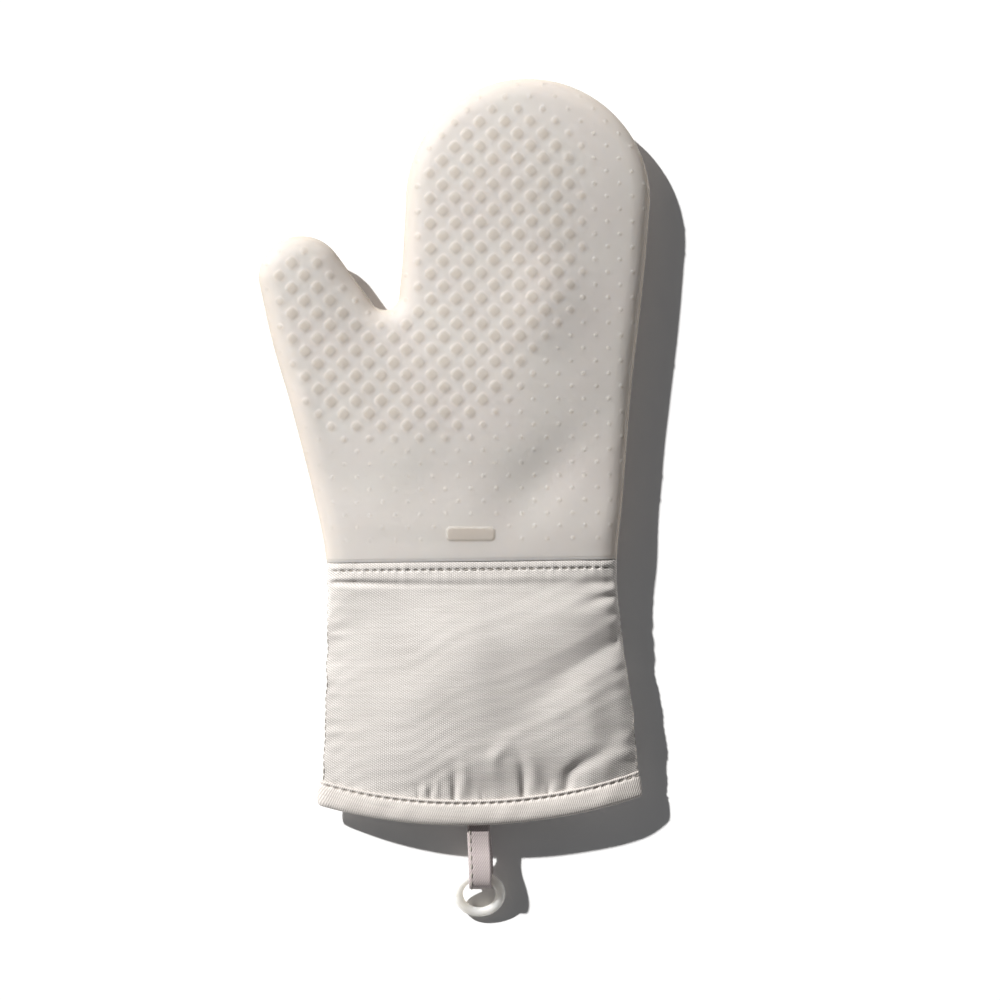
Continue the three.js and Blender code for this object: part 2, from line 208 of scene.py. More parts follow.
def outline():
    """The mitt from above, counter-clockwise, with its cuff run on below the hem."""
    parts = [
        side_line(RIGHT_EDGE, BELOW_HEM_Y, FINGERS[1]),
        arc(FINGERS, 0, 180),
        side_line(HAND_INNER_EDGE, FINGERS[1], CROTCH[1]),
        arc(CROTCH, 0, THUMB_SIDE_DEGREES - 180, 1.0),
        arc(THUMB, THUMB_SIDE_DEGREES, 180, 1.0),
        side_line(LEFT_EDGE, THUMB[1], BELOW_HEM_Y),
    ]
    return np.concatenate(parts)


class Map:
    """Values on a flat grid, read between its points."""

    STEP = 1.0
    LOW = np.array([-100.0, -200.0])
    SIZE = (201, 401)

    def __init__(self, values):
        self.values = values

    @classmethod
    def places(cls):
        x = cls.LOW[0] + cls.STEP * np.arange(cls.SIZE[0])
        y = cls.LOW[1] + cls.STEP * np.arange(cls.SIZE[1])
        return np.stack(np.meshgrid(x, y, indexing="ij"), -1)

    def at(self, x, y):
        gx = np.clip((np.asarray(x, float) - self.LOW[0]) / self.STEP, 0, self.SIZE[0] - 1.001)
        gy = np.clip((np.asarray(y, float) - self.LOW[1]) / self.STEP, 0, self.SIZE[1] - 1.001)
        i, j = gx.astype(int), gy.astype(int)
        u, v = gx - i, gy - j
        grid = self.values
        low = grid[i, j] * (1 - u) + grid[i + 1, j] * u
        high = grid[i, j + 1] * (1 - u) + grid[i + 1, j + 1] * u
        return low * (1 - v) + high * v


def signed_distance(points, ring):
    """Distance of points from a closed ring of corners, positive inside it."""
    flat = points.reshape(-1, 2)
    nearest = np.full(len(flat), np.inf)
    inside = np.zeros(len(flat), bool)
    for a, b in zip(ring, np.roll(ring, -1, axis=0)):
        way = b - a
        from_a = flat - a
        share = np.clip(from_a @ way / max(way @ way, 1e-9), 0, 1)
        nearest = np.minimum(nearest, np.sum((from_a - share[:, None] * way) ** 2, axis=1))
        crosses = (flat[:, 1] >= a[1]) != (flat[:, 1] >= b[1])
        if crosses.any():
            at_x = a[0] + (flat[crosses, 1] - a[1]) * way[0] / way[1]
            inside[crosses] ^= flat[crosses, 0] < at_x
    return (np.where(inside, 1, -1) * np.sqrt(nearest)).reshape(points.shape[:-1])


def blurred(values, spread):
    """Gaussian blur of a map's values, with a spread in millimetres."""
    reach = np.arange(-int(3 * spread), int(3 * spread) + 1)
    weights = np.exp(-0.5 * (reach / spread) ** 2)
    weights /= weights.sum()
    for axis in (0, 1):
        padding = [(len(reach) // 2,) * 2 if k == axis else (0, 0) for k in (0, 1)]
        padded = np.pad(values, padding, mode="edge")
        slices = [np.take(padded, range(k, k + values.shape[axis]), axis) for k in range(len(reach))]
        values = sum(w * s for w, s in zip(weights, slices))
    return values


# ---------------------------------------------------------------- the pillow form

SIDE_WIDTH = 9.6  # how far in from the outline the rounded side reaches
SIDE_POWER = 2.4
CROWN_REACH = 32.0  # how far in from the outline the faces keep rising
CROWN_FULL = 0.888
CROWN_HEIGHT = 7.4
CROWN_BLUR = 6.0

# Broad dents and swells of the moulded faces: points, width, height.
HAND_SWELLS = [
    ([(12, -20), (39, 9), (66, 39)], 13.0, -1.8),
    ([(52, -26), (66, -14), (76, 2)], 9.0, 0.6),
    ([(34, 58), (42, 88), (44, 114)], 15.0, 2.0),
    ([(-48, 24), (-58, 60), (-66, 84)], 8.0, -0.4),
    ([(-34, -6), (-20, 24), (-8, 50)], 12.0, 0.5),
    ([(-54, -16), (20, -20)], 4.0, -0.25),
    ([(-53, 112), (-44, 99), (-36, 88)], 7.0, -1.3),
    ([(-64, 24), (-70, 42), (-74, 58)], 8.0, 0.8),
]


def line_distance(x, y, line):
    """Distance from a bent line, and the share of its length passed at the nearest place."""
    best, share = np.full(np.shape(x), np.inf), np.zeros(np.shape(x))
    lengths = [math.dist(a, b) for a, b in zip(line, line[1:])]
    passed = 0.0
    for a, b, length in zip(line, line[1:], lengths):
        way = ((b[0] - a[0]) / length, (b[1] - a[1]) / length)
        run = np.clip((x - a[0]) * way[0] + (y - a[1]) * way[1], 0, length)
        away = np.hypot(x - a[0] - run * way[0], y - a[1] - run * way[1])
        share = np.where(away < best, (passed + run) / sum(lengths), share)
        best = np.minimum(best, away)
        passed += length
    return best, share


def smooth_line(points, count=12):
    """A curve through given points, as short straight pieces."""
    points = np.array(points, float)
    at = np.concatenate([[0], np.cumsum(np.hypot(*np.diff(points, axis=0).T))])
    fine = np.linspace(0, at[-1], count)
    return list(zip(along(list(zip(at, points[:, 0])), fine), along(list(zip(at, points[:, 1])), fine)))


def swell(x, y, points, width, height):
    """A soft ridge along a line, fading at both ends."""
    away, share = line_distance(x, y, smooth_line(points))
    return height * np.exp(-((away / width) ** 2)) * np.sin(math.pi * np.clip(share, 0.1, 0.9))


def hand_swells():
    x, y = np.moveaxis(Map.places(), -1, 0)
    return sum(swell(x, y, *one) for one in HAND_SWELLS)


to_edge = Map(signed_distance(Map.places(), outline()))
crown = Map(blurred(1 - np.exp(-np.maximum(to_edge.values, 0) / CROWN_REACH), CROWN_BLUR) / CROWN_FULL)
crown.values += hand_swells() / CROWN_HEIGHT


def lift_at(y):
    return CUFF_LIFT * (1 - smoothstep(y, -20, 14))


def middle_at(y):
    return lift_at(y) + along(HALF_THICKNESS, y) - FLAT_CUT


def sides_at(y):
    """Centre and half width of the cuff's part of the mitt."""
    left, right = along(LEFT_EDGE, y), along(RIGHT_EDGE, y)
    return (left + right) / 2, (right - left) / 2


def height_squared(x, y, depth, thin):
    """Square of the half thickness, running on below zero outside the outline.

    depth is how far inside the outline the layer keeps, and thin how much thinner it is."""
    share = (to_edge.at(x, y) - depth) / SIDE_WIDTH
    rounded = np.where(share > 0, 1 - (1 - np.clip(share, 0, 1)) ** SIDE_POWER, SIDE_POWER * share)
    crest = along(HALF_THICKNESS, y) - thin - CROWN_HEIGHT * (1 - crown.at(x, y))
    return rounded * np.maximum(crest, 1.0) ** 2


ARCH_FROM, ARCH_TO = -30.0, -64.0  # rows between which the moulded form turns into the cuff's arch
ARCH_FLATNESS = (1.6, 3.2)  # of the middle of the cuff, and of its hem


def cuff_height(x, y, depth=0.0, thin=0.0):
    """Half thickness of the cuff: the moulded form at the joint, and a plain arch further down."""
    moulded = np.sqrt(np.maximum(height_squared(x, y, depth, thin + 0.9), 0))
    centre, half = sides_at(y)
    share = np.clip(np.abs(x - centre) / (half - depth), 0, 1)
    flatness = ARCH_FLATNESS[0] + (ARCH_FLATNESS[1] - ARCH_FLATNESS[0]) * smoothstep(-y, 95, 135)
    arch = (along(HALF_THICKNESS, y) - thin) * (1 - share**flatness)
    blend = smoothstep(-y, -ARCH_FROM, -ARCH_TO)
    return moulded * (1 - blend) + arch * blend


# ---------------------------------------------------------------- surfaces from a field

LATTICE = 11.1  # spacing of the grip bumps along a row; the rows between are half a step over
LATTICE_SIDE = LATTICE / math.sqrt(2)
BUMP_PLACE = np.array([-10.41, 132.18])  # one of the bumps
ROWS_TURN = math.radians(45.63)  # direction of the bumps' diagonal rows
ROW_WAY = (math.cos(ROWS_TURN), math.sin(ROWS_TURN))
FLOOR_BLEND = 1.2
FIELD_SCALE = 20.0  # turns a difference of squared heights into about a distance
NET_SIDE, NET_TOP, NET_HEIGHT = 92, 192, 32  # what the nets cover, in x, y and z


def to_lattice(x, y):
    """Coordinates along the bumps' own diagonal rows, counted from one bump."""
    dx, dy = x - BUMP_PLACE[0], y - BUMP_PLACE[1]
    return dx * ROW_WAY[0] + dy * ROW_WAY[1], dy * ROW_WAY[0] - dx * ROW_WAY[1]


def from_lattice(u, v):
    x = BUMP_PLACE[0] + u * ROW_WAY[0] - v * ROW_WAY[1]
    return x, BUMP_PLACE[1] + u * ROW_WAY[1] + v * ROW_WAY[0]


def on_floor(pillow, flat):
    """Smooth lesser of a pillow's field and the height above its flat underside."""
    mix = np.clip(0.5 + 0.5 * (flat - pillow) / FLOOR_BLEND, 0, 1)
    return flat * (1 - mix) + pillow * mix - FLOOR_BLEND * mix * (1 - mix)


def moulded_field(points, depth, thin, floor):
    """Positive inside the moulded form, and about the distance from its surface near it."""
    x, y, z = points[..., 0], points[..., 1], points[..., 2]
    flat = z - floor - lift_at(y)
    pillow = (height_squared(x, y, depth, thin) - (z - middle_at(y)) ** 2) / FIELD_SCALE
    return on_floor(pillow, flat)


def field_slope(field, points, step=0.25):
    slope = np.zeros_like(points)
    for axis in range(3):
        shift = np.zeros(3)
        shift[axis] = step
        slope[:, axis] = (field(points + shift) - field(points - shift)) / (2 * step)
    return slope


def onto_surface(field, points, rounds=4):
    """Moves points onto the field's zero level, and gives its outward normals there."""
    for _ in range(rounds):
        slope = field_slope(field, points)
        size = np.maximum(np.sum(slope**2, axis=1), 0.04)
        shift = (field(points) / size)[:, None] * slope
        reach = np.linalg.norm(shift, axis=1, keepdims=True)
        points = points - shift * np.minimum(1, 1.0 / np.maximum(reach, 1e-9))
    return points, -unit(field_slope(field, points))


def crossings(values, cells):
    """Mean place, inside each cell, of the field's zero crossings on the cell's edges."""
    total, count = np.zeros((len(cells), 3)), np.zeros(len(cells))
    for axis in range(3):
        step = np.eye(3, dtype=int)[axis]
        one, two = np.eye(3, dtype=int)[(axis + 1) % 3], np.eye(3, dtype=int)[(axis + 2) % 3]
        for corner in (0 * one, one, two, one + two):
            a = values[tuple((cells + corner).T)]
            b = values[tuple((cells + corner + step).T)]
            hit = (a > 0) != (b > 0)
            share = a[hit] / (a[hit] - b[hit])
            total[hit] += corner + share[:, None] * step
            count[hit] += 1
    return total / count[:, None]


def net_surface(field, spacing, low_y):
    """Quads over the field's zero level, on a grid turned to run along the bumps' diagonal rows."""
    box = np.array([(x, y) for x in (-NET_SIDE, NET_SIDE) for y in (low_y, NET_TOP)], float)
    u, v = to_lattice(box[:, 0], box[:, 1])
    low = np.array([np.floor(u.min() / spacing), np.floor(v.min() / spacing), -1]) - 0.5
    size = [int((u.max() - u.min()) / spacing) + 4, int((v.max() - v.min()) / spacing) + 4]
    size.append(int(NET_HEIGHT / spacing) + 3)
    at = [(low[k] + np.arange(size[k])) * spacing for k in range(3)]
    x, y = from_lattice(*np.meshgrid(at[0], at[1], indexing="ij"))
    points = np.empty((*size, 3))
    points[..., 0], points[..., 1], points[..., 2] = x[..., None], y[..., None], at[2]
    values = field(points)
    inside = values > 0
    corners = [inside[i:size[0] - 1 + i, j:size[1] - 1 + j, k:size[2] - 1 + k]
               for i in (0, 1) for j in (0, 1) for k in (0, 1)]
    filled = sum(c.astype(np.int8) for c in corners)
    active = (filled > 0) & (filled < 8)
    cells = np.argwhere(active)
    number = np.full(active.shape, -1)
    number[active] = np.arange(len(cells))
    place = (low + cells + crossings(values, cells)) * spacing
    x, y = from_lattice(place[:, 0], place[:, 1])
    quads = []
    for axis in range(3):
        one, two = np.eye(3, dtype=int)[(axis + 1) % 3], np.eye(3, dtype=int)[(axis + 2) % 3]
        here = inside[tuple(slice(0, n - 1) if k == axis else slice(1, n - 1) for k, n in enumerate(size))]
        there = inside[tuple(slice(1, n) if k == axis else slice(1, n - 1) for k, n in enumerate(size))]
        edges = np.argwhere(here != there) + one + two
        way_out = here[tuple((edges - one - two).T)]
        ring = [number[tuple((edges - c).T)] for c in (one + two, two, 0 * one, one)]
        quad = np.stack(ring, -1)
        quads.append(np.where(way_out[:, None], quad, quad[:, ::-1]))
    return np.stack([x, y, place[:, 2]], -1), np.concatenate(quads)


def refine(points, faces, chosen):
    """Splits the chosen quads in four. Their neighbours take in the new points on their edges."""
    fresh, middle = list(points), {}

    def between(a, b):
        key = (a, b) if a < b else (b, a)
        if key not in middle:
            middle[key] = len(fresh)
            fresh.append((fresh[a] + fresh[b]) / 2)
        return middle[key]

    result, small = [], []
    for face, split in zip(faces, chosen):
        if split:
            a, b, c, d = face
            ab, bc, cd, da = between(a, b), between(b, c), between(c, d), between(d, a)
            centre = len(fresh)
            fresh.append((points[a] + points[b] + points[c] + points[d]) / 4)
            small.extend([(a, ab, centre, da), (ab, b, bc, centre), (centre, bc, c, cd), (da, centre, cd, d)])
    for face, split in zip(faces, chosen):
        if split:
            continue
        ring = []
        for a, b in zip(face, (*face[1:], face[0])):
            ring.append(a)
            found = middle.get((a, b) if a < b else (b, a))
            if found is not None:
                ring.append(found)
        result.append(tuple(ring))
    return np.array(fresh), small + result, len(small)


# ---------------------------------------------------------------- grip bumps

BUMP_ZONE = np.array([  # outline of the palm's large bumps
    (44, 164), (54, 148), (54, 100), (49, 84), (38, 72), (31.5, 60), (24, 49), (14, 38.5), (4, 31),
    (-12, 28), (-42, 31), (-53, 33), (-61, 42), (-67, 54), (-95, 100), (-95, 180), (5, 172), (30, 171),
], float)
DOT_SIZE = 0.3  # the smallest bumps, as a share of the largest
DOTS_END_Y = -19.0
BUMP_HALF = (0.8, 2.35)  # half the side of the smallest and the largest bump
BUMP_HEIGHT = (0.2, 0.34)
BUMP_SOFTNESS = (0.42, 0.7)

zone = Map(signed_distance(Map.places(), BUMP_ZONE))


def bump_size(x, y):
    """Size of the bump centred at a place, from 0 for none to 1 for the largest."""
    from_outline = 1.9 * (to_edge.at(x, y) - 8.3)
    reach = np.minimum(zone.at(x, y), from_outline)
    size = DOT_SIZE + (1 - DOT_SIZE) * smoothstep(reach, -11, 7)
    there = (to_edge.at(x, y) > 1.6) & (y > DOTS_END_Y)
    return np.where(there, size, 0)


def nearest_bump(points):
    """Each point's place in its nearest bump, as (across, along, distance, size)."""
    u, v = to_lattice(points[:, 0], points[:, 1])
    cu, cv = np.round(u / LATTICE_SIDE) * LATTICE_SIDE, np.round(v / LATTICE_SIDE) * LATTICE_SIDE
    cx, cy = from_lattice(cu, cv)
    size = bump_size(cx, cy)
    above = points[:, 2] > middle_at(points[:, 1])
    half = np.sqrt(np.maximum(height_squared(cx, cy, 0, SHELL_THIN), 0))
    top, bottom = middle_at(cy) + half, np.maximum(middle_at(cy) - half, SHELL_FLOOR + lift_at(cy))
    rise = points[:, 2] - np.where(above, top, bottom)
    steep = smoothstep(np.abs(rise), 0.5, 2.5)
    return u - cu, v - cv, steep * rise, size


def bump_reach(points):
    """Distance from the nearest bump's centre, as a share of its half side, and that half side."""
    du, dv, rise, size = nearest_bump(points)
    t = np.clip((size - DOT_SIZE) / (1 - DOT_SIZE), 0, 1)
    half = BUMP_HALF[0] + (BUMP_HALF[1] - BUMP_HALF[0]) * t
    power = 2 + 1.3 * t
    reach = (np.abs(du) ** power + np.abs(dv) ** power + np.abs(rise) ** power) ** (1 / power)
    return reach, half, t, size


PAD = (7.5, -15.2, 10.5, 2.9, 1.6)  # the plain pad by the cuff: centre, half sizes, corner radius
PAD_HEIGHT = 0.42


def pad_height(points):
    x, y, half_x, half_y, corner = PAD
    away_x = np.maximum(np.abs(points[:, 0] - x) - half_x + corner, 0)
    away_y = np.maximum(np.abs(points[:, 1] - y) - half_y + corner, 0)
    away = np.hypot(away_x, away_y) - corner
    front = points[:, 2] > middle_at(points[:, 1])
    return PAD_HEIGHT * (1 - smoothstep(away, -0.45, 0.35)) * front


def raised(points):
    """Height of the bumps and the pad above the plain surface."""
    reach, half, t, size = bump_reach(points)
    soft = BUMP_SOFTNESS[0] + (BUMP_SOFTNESS[1] - BUMP_SOFTNESS[0]) * t
    fall = smoothstep(reach, half - soft, half + soft)
    dome = 1 - 0.08 * np.minimum(reach / half, 1) ** 2
    tall = BUMP_HEIGHT[0] + (BUMP_HEIGHT[1] - BUMP_HEIGHT[0]) * t
    quiet = 0.55 + 0.45 * smoothstep(points[:, 0] + 0.8 * points[:, 1], -40, 60)
    tall = tall * np.where(t < 0.2, quiet, 1)
    near_pad = np.hypot((points[:, 0] - PAD[0]) / 16, (points[:, 1] - PAD[1]) / 8) < 1
    return np.where(near_pad | (size == 0), 0, tall * dome * (1 - fall)) + pad_height(points)


# ---------------------------------------------------------------- the silicone shell

SHELL_THIN = 0.9  # the plain surface is this far below the bumps' tips
SHELL_FLOOR = 0.9
SHELL_WALL = 1.6
SHELL_CUT = 4.5  # the structured rim starts this far above the shell's edge
FINE = LATTICE_SIDE / 6
# The rim, as (distance above the shell's edge, distance outwards from the plain surface).
RIM = [
    (3.6, 0), (2.6, 0), (1.9, 0), (1.6, -0.02), (1.45, -0.07), (1.3, -0.13), (1.0, -0.14), (0.35, -0.14),
    (0.1, -0.18), (0.02, -0.26), (0.0, -0.4), (0.0, -1.05), (-2.5, -1.1), (-5, -1.1), (-7.6, -1.1),
    (-7.7, -1.4),
]


def edge_line(x, y):
    """Row y at the cuff's centre line, run across at the moulded edge's slight tilt."""
    return y + math.tan(EDGE_TILT) * (x - CUFF_CENTRE_X)


def open_edge(verts, y):
    """Those of some points that lie on an open edge by row y, in order round it."""
    edge = [v for v in verts if v.is_boundary]
    centre = float(middle_at(y))
    return sorted(edge, key=lambda v: math.atan2(v.co.z - centre, v.co.x - CUFF_CENTRE_X))


def cut_at(bm, y):
    """Removes what lies below a tilted row and gives the cut's points, in order round it."""
    geometry = bm.verts[:] + bm.edges[:] + bm.faces[:]
    across = (-math.tan(EDGE_TILT), 1, 0)
    bmesh.ops.bisect_plane(
        bm, geom=geometry, dist=1e-5, plane_co=(CUFF_CENTRE_X, y, 0), plane_no=across, clear_inner=True
    )
    return open_edge(bm.verts, y)


def slide_section(ring, old_y, new_y):
    """Section points moved to another row of the mitt."""
    (c0, w0), (c1, w1) = sides_at(old_y), sides_at(new_y)
    scale = (along(HALF_THICKNESS, new_y) - SHELL_THIN) / (along(HALF_THICKNESS, old_y) - SHELL_THIN)
    moved = ring.copy()
    moved[:, 0] = c1 + (ring[:, 0] - c0) * w1 / w0
    moved[:, 2] = middle_at(new_y) + (ring[:, 2] - middle_at(old_y)) * scale
    moved[:, 1] = edge_line(moved[:, 0], new_y)
    return moved


def section_normals(ring):
    """Outward normals, across the mitt, of a ring of section points."""
    ahead, behind = np.roll(ring, -1, axis=0), np.roll(ring, 1, axis=0)
    way = ahead - behind
    return unit(np.stack([way[:, 2], 0 * way[:, 0], -way[:, 0]], -1))


def close_between(bm, outer, inner):
    """Triangles between two rings of different counts, both in order of angle."""
    centre = sum((v.co for v in outer), outer[0].co * 0) / len(outer)
    angle = [[math.atan2(v.co.z - centre.z, v.co.x - centre.x) for v in ring] for ring in (outer, inner)]
    i = j = 0
    while i < len(outer) or j < len(inner):
        next_outer = angle[0][i + 1] if i + 1 < len(outer) else math.tau + i - len(outer)
        next_inner = angle[1][j + 1] if j + 1 < len(inner) else math.tau + j - len(inner)
        a, b = outer[i % len(outer)], inner[j % len(inner)]
        if j >= len(inner) or (i < len(outer) and next_outer <= next_inner):
            bm.faces.new((a, outer[(i + 1) % len(outer)], b))
            i += 1
        else:
            bm.faces.new((a, inner[(j + 1) % len(inner)], b))
            j += 1


def choose(points, faces, count, test):
    """Which of the first count faces, all quads, pass a test of their centres."""
    quads = np.array(faces[:count])
    picked = test(points[quads].mean(axis=1))
    return list(picked) + [False] * (len(faces) - count)


def shell_outside():
    """The shell's outer surface with its bumps, as points, faces and raised heights."""

    def field(p):
        return moulded_field(p, 0, SHELL_THIN, SHELL_FLOOR)

    def near_bump(centres):
        reach, half, _, size = bump_reach(centres)
        return ((reach < half + 1.1) & (size > 0)) | (pad_height(centres) > 0) | near_pad_edge(centres)

    def near_dot(centres):
        reach, half, t, size = bump_reach(centres)
        front = centres[:, 2] > middle_at(centres[:, 1]) - 4
        dot = (reach < half + 0.5) & (size > 0) & (t < 0.35)
        return (dot & front) | near_pad_edge(centres)

    points, quads = net_surface(field, FINE, SHELL_EDGE_Y - 4)
    points, _ = onto_surface(field, points)
    faces = [tuple(q) for q in quads]
    points, faces, count = refine(points, faces, choose(points, faces, len(faces), near_bump))
    points, _ = onto_surface(field, points, 2)
    points, faces, count = refine(points, faces, choose(points, faces, count, near_dot))
    points, normals = onto_surface(field, points, 2)
    height = raised(points)
    return points + normals * height[:, None], faces, height


def near_pad_edge(centres):
    x, y, half_x, half_y, _ = PAD
    near = (np.abs(centres[:, 0] - x) < half_x + 1.2) & (np.abs(centres[:, 1] - y) < half_y + 1.2)
    return near & (centres[:, 2] > middle_at(centres[:, 1]))


def bmesh_of(points, faces):
    bm = bmesh.new()
    verts = [bm.verts.new(p) for p in points]
    for face in faces:
        bm.faces.new([verts[k] for k in face])
    return bm


def add_rim(bm):
    """Cuts the outer surface off above its edge and runs it on down the rim. Gives the last ring."""
    start_y = SHELL_EDGE_Y + SHELL_CUT
    ring = cut_at(bm, start_y)
    base = np.array([v.co for v in ring])
    for above, outwards in RIM:
        placed = slide_section(base, start_y, SHELL_EDGE_Y + above)
        placed += section_normals(placed) * outwards
        fresh = [bm.verts.new(p) for p in placed]
        for k in range(len(ring)):
            n = (k + 1) % len(ring)
            bm.faces.new((ring[k], ring[n], fresh[n], fresh[k]))
        ring = fresh
    return ring


def add_inside(bm):
    """Adds the inner surface, cut off at the flange's end. Gives its open edge."""

    def field(p):
        return moulded_field(p, SHELL_WALL, SHELL_THIN + SHELL_WALL, SHELL_FLOOR + SHELL_WALL)

    points, quads = net_surface(field, 2 * FINE, FLANGE_END_Y - 6)
    points, _ = onto_surface(field, points)
    inner = bmesh_of(points, quads[:, ::-1])
    cut_at(inner, FLANGE_END_Y)
    mesh = bpy.data.meshes.new("inner")
    inner.to_mesh(mesh)
    inner.free()
    before = len(bm.verts)
    bm.from_mesh(mesh)
    bm.verts.ensure_lookup_table()
    bpy.data.meshes.remove(mesh)
    return open_edge(bm.verts[before:], FLANGE_END_Y)


def make_shell(material):
    points, faces, height = shell_outside()
    bm = bmesh_of(points, faces)
    layer = bm.verts.layers.float.new("raised")
    for vert, value in zip(bm.verts, height):
        vert[layer] = value
    ring = add_rim(bm)
    close_between(bm, ring, add_inside(bm))
    bmesh.ops.recalc_face_normals(bm, faces=bm.faces[:])
    bmesh.ops.scale(bm, vec=(MM, MM, MM), verts=bm.verts[:])
    mesh = bpy.data.meshes.new("silicone_shell_moulding")
    bm.to_mesh(mesh)
    bm.free()
    mesh.shade_smooth()
    mesh.materials.append(material)
    piece = add_object("silicone_shell_moulding", mesh)
    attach(piece, "mitt")
    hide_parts("silicone_shell")
    return piece


# ---------------------------------------------------------------- materials


def new_material(name):
    material = bpy.data.materials.new(name)
    material.use_nodes = True
    tree = material.node_tree
    shader = tree.nodes["Principled BSDF"]
    return material, tree, shader


def wire(tree, node, **inputs):
    """Links or sets a node's inputs by name, where an underscore stands for a space."""
    for name, value in inputs.items():
        socket = node.inputs[name.replace("_", " ")]
        if isinstance(value, bpy.types.NodeSocket):
            tree.links.new(value, socket)
        else:
            socket.default_value = value


def axes_of(tree, vector):
    """Outputs with a vector's x, y and z."""
    split = tree.nodes.new("ShaderNodeSeparateXYZ")
    tree.links.new(vector, split.inputs[0])
    return split.outputs


def math_node(tree, operation, *values):
    node = tree.nodes.new("ShaderNodeMath")
    node.operation = operation
    for socket, value in zip(node.inputs, values):
        if isinstance(value, (int, float)):
            socket.default_value = value
        else:
            tree.links.new(value, socket)
    return node.outputs[0]


def noise_node(tree, vector, scale, detail=3.0):
    node = tree.nodes.new("ShaderNodeTexNoise")
    wire(tree, node, Vector=vector, Scale=scale, Detail=detail)
    return node.outputs["Fac"]


def object_place(tree):
    return tree.nodes.new("ShaderNodeTexCoord").outputs["Object"]


def mix_colours(tree, share, first, second):
    node = tree.nodes.new("ShaderNodeMix")
    node.data_type = "RGBA"
    tree.links.new(share, node.inputs[0])
    for socket, value in ((node.inputs[6], first), (node.inputs[7], second)):
        if isinstance(value, tuple):
            socket.default_value = (*value, 1)
        else:
            tree.links.new(value, socket)
    return node.outputs[2]


def ranged(tree, value, low, high, to_low, to_high):
    node = tree.nodes.new("ShaderNodeMapRange")
    tree.links.new(value, node.inputs[0])
    for socket, number in zip(node.inputs[1:5], (low, high, to_low, to_high)):
        socket.default_value = number
    return node.outputs[0]


def bump_node(tree, height, distance, strength=1.0):
    node = tree.nodes.new("ShaderNodeBump")
    wire(tree, node, Height=height, Distance=distance * MM, Strength=strength)
    return node.outputs["Normal"]


def attribute(tree, name, output):
    node = tree.nodes.new("ShaderNodeAttribute")
    node.attribute_name = name
    return node.outputs[output]


def painted_side_shade(tree, flat, upright):
    """Share of painted shade on steep sides: 0 where the surface lies flat and 1 where it stands upright, by
    the size of its normal's z.
    """
    normal = tree.nodes.new("ShaderNodeNewGeometry").outputs["Normal"]
    return ranged(tree, math_node(tree, "ABSOLUTE", axes_of(tree, normal)[2]), flat, upright, 0, 1)


def silicone_material():
    material, tree, shader = new_material("silicone")
    place = object_place(tree)
    warmth = ranged(tree, noise_node(tree, place, 38, 2.0), 0.35, 0.65, 0, 1)
    plain = mix_colours(tree, warmth, (0.728, 0.647, 0.58), (0.734, 0.637, 0.575))
    # Painted shade: the raised bumps get a darker, warmer colour, which dims their highlights and deepens
    # their shaded sides.
    high = ranged(tree, attribute(tree, "raised", "Fac"), 0.06, 0.3, 0, 1)
    bump_tops_painted_shade = mix_colours(tree, high, plain, (0.565, 0.502, 0.443))
    # Painted shade: the silicone's steep sides get a darker, warmer colour, by how upright the surface
    # stands.
    colour = mix_colours(tree, painted_side_shade(tree, 0.965, 0.35), bump_tops_painted_shade, (0.488, 0.430, 0.366))
    dull = ranged(tree, noise_node(tree, place, 260, 4.0), 0.3, 0.7, 0.52, 0.64)
    grain = bump_node(tree, noise_node(tree, place, 2600, 2.0), 0.02, 0.5)
    wire(tree, shader, Base_Color=colour, Roughness=dull, Normal=grain, Specular_IOR_Level=0.25,
         Subsurface_Weight=1.0, Subsurface_Radius=(1.0, 0.92, 0.82), Subsurface_Scale=7.0 * MM)
    return material


def twill(tree, place, pitch, degrees, float_length):
    """Height of a twill weave, 0 to 1, on cloth laid out in millimetres."""
    x, y, _ = axes_of(tree, place)
    angle = math.radians(degrees)
    wobble = math_node(tree, "MULTIPLY", noise_node(tree, place, 0.11, 2.0), 1.4)
    across = math_node(tree, "ADD", math_node(tree, "MULTIPLY", x, -math.sin(angle) * math.tau / pitch),
                       math_node(tree, "MULTIPLY", y, math.cos(angle) * math.tau / pitch))
    lines = math_node(tree, "COSINE", math_node(tree, "ADD", across, wobble))
    lines = math_node(tree, "MULTIPLY_ADD", lines, 0.5, 0.5)
    yarn = math_node(tree, "COSINE", math_node(tree, "MULTIPLY", x, math.tau / float_length))
    yarn = math_node(tree, "MULTIPLY_ADD", yarn, 0.25, 0.75)
    return math_node(tree, "MULTIPLY", lines, yarn)


def streaks(tree, place):
    """Uneven weft yarns, as long thin bands across the cloth."""
    x, y, _ = axes_of(tree, place)
    join = tree.nodes.new("ShaderNodeCombineXYZ")
    wire(tree, join, X=math_node(tree, "MULTIPLY", x, 0.05), Y=math_node(tree, "MULTIPLY", y, 0.9))
    return ranged(tree, noise_node(tree, join.outputs[0], 1.0, 4.0), 0.3, 0.7, -0.1, 0.1)


def cloth_material(name, light, dark, pitch, degrees, float_length, depth=0.22):
    """Twill in two colours. Pitch, float length and depth are in millimetres of the cloth."""
    material, tree, shader = new_material(name)
    place = attribute(tree, "cloth", "Vector")
    weave = twill(tree, place, pitch, degrees, float_length)
    slubs = noise_node(tree, place, 1.7, 3.0)
    cloudy = ranged(tree, noise_node(tree, place, 0.035, 3.0), 0.3, 0.7, -0.1, 0.1)
    share = math_node(tree, "ADD", math_node(tree, "MULTIPLY_ADD", weave, 1.05, 0.12), cloudy)
    share = math_node(tree, "ADD", share, ranged(tree, slubs, 0.3, 0.7, -0.15, 0.15))
    share = math_node(tree, "ADD", share, streaks(tree, place))
    colour = mix_colours(tree, ranged(tree, share, 0, 1, 0, 1), dark, light)
    yarns = math_node(tree, "ADD", weave, math_node(tree, "MULTIPLY", slubs, 0.5))
    wire(tree, shader, Base_Color=colour, Roughness=0.92, Normal=bump_node(tree, yarns, depth),
         Specular_IOR_Level=0.2, Sheen_Weight=0.2, Sheen_Roughness=0.6)
    return material


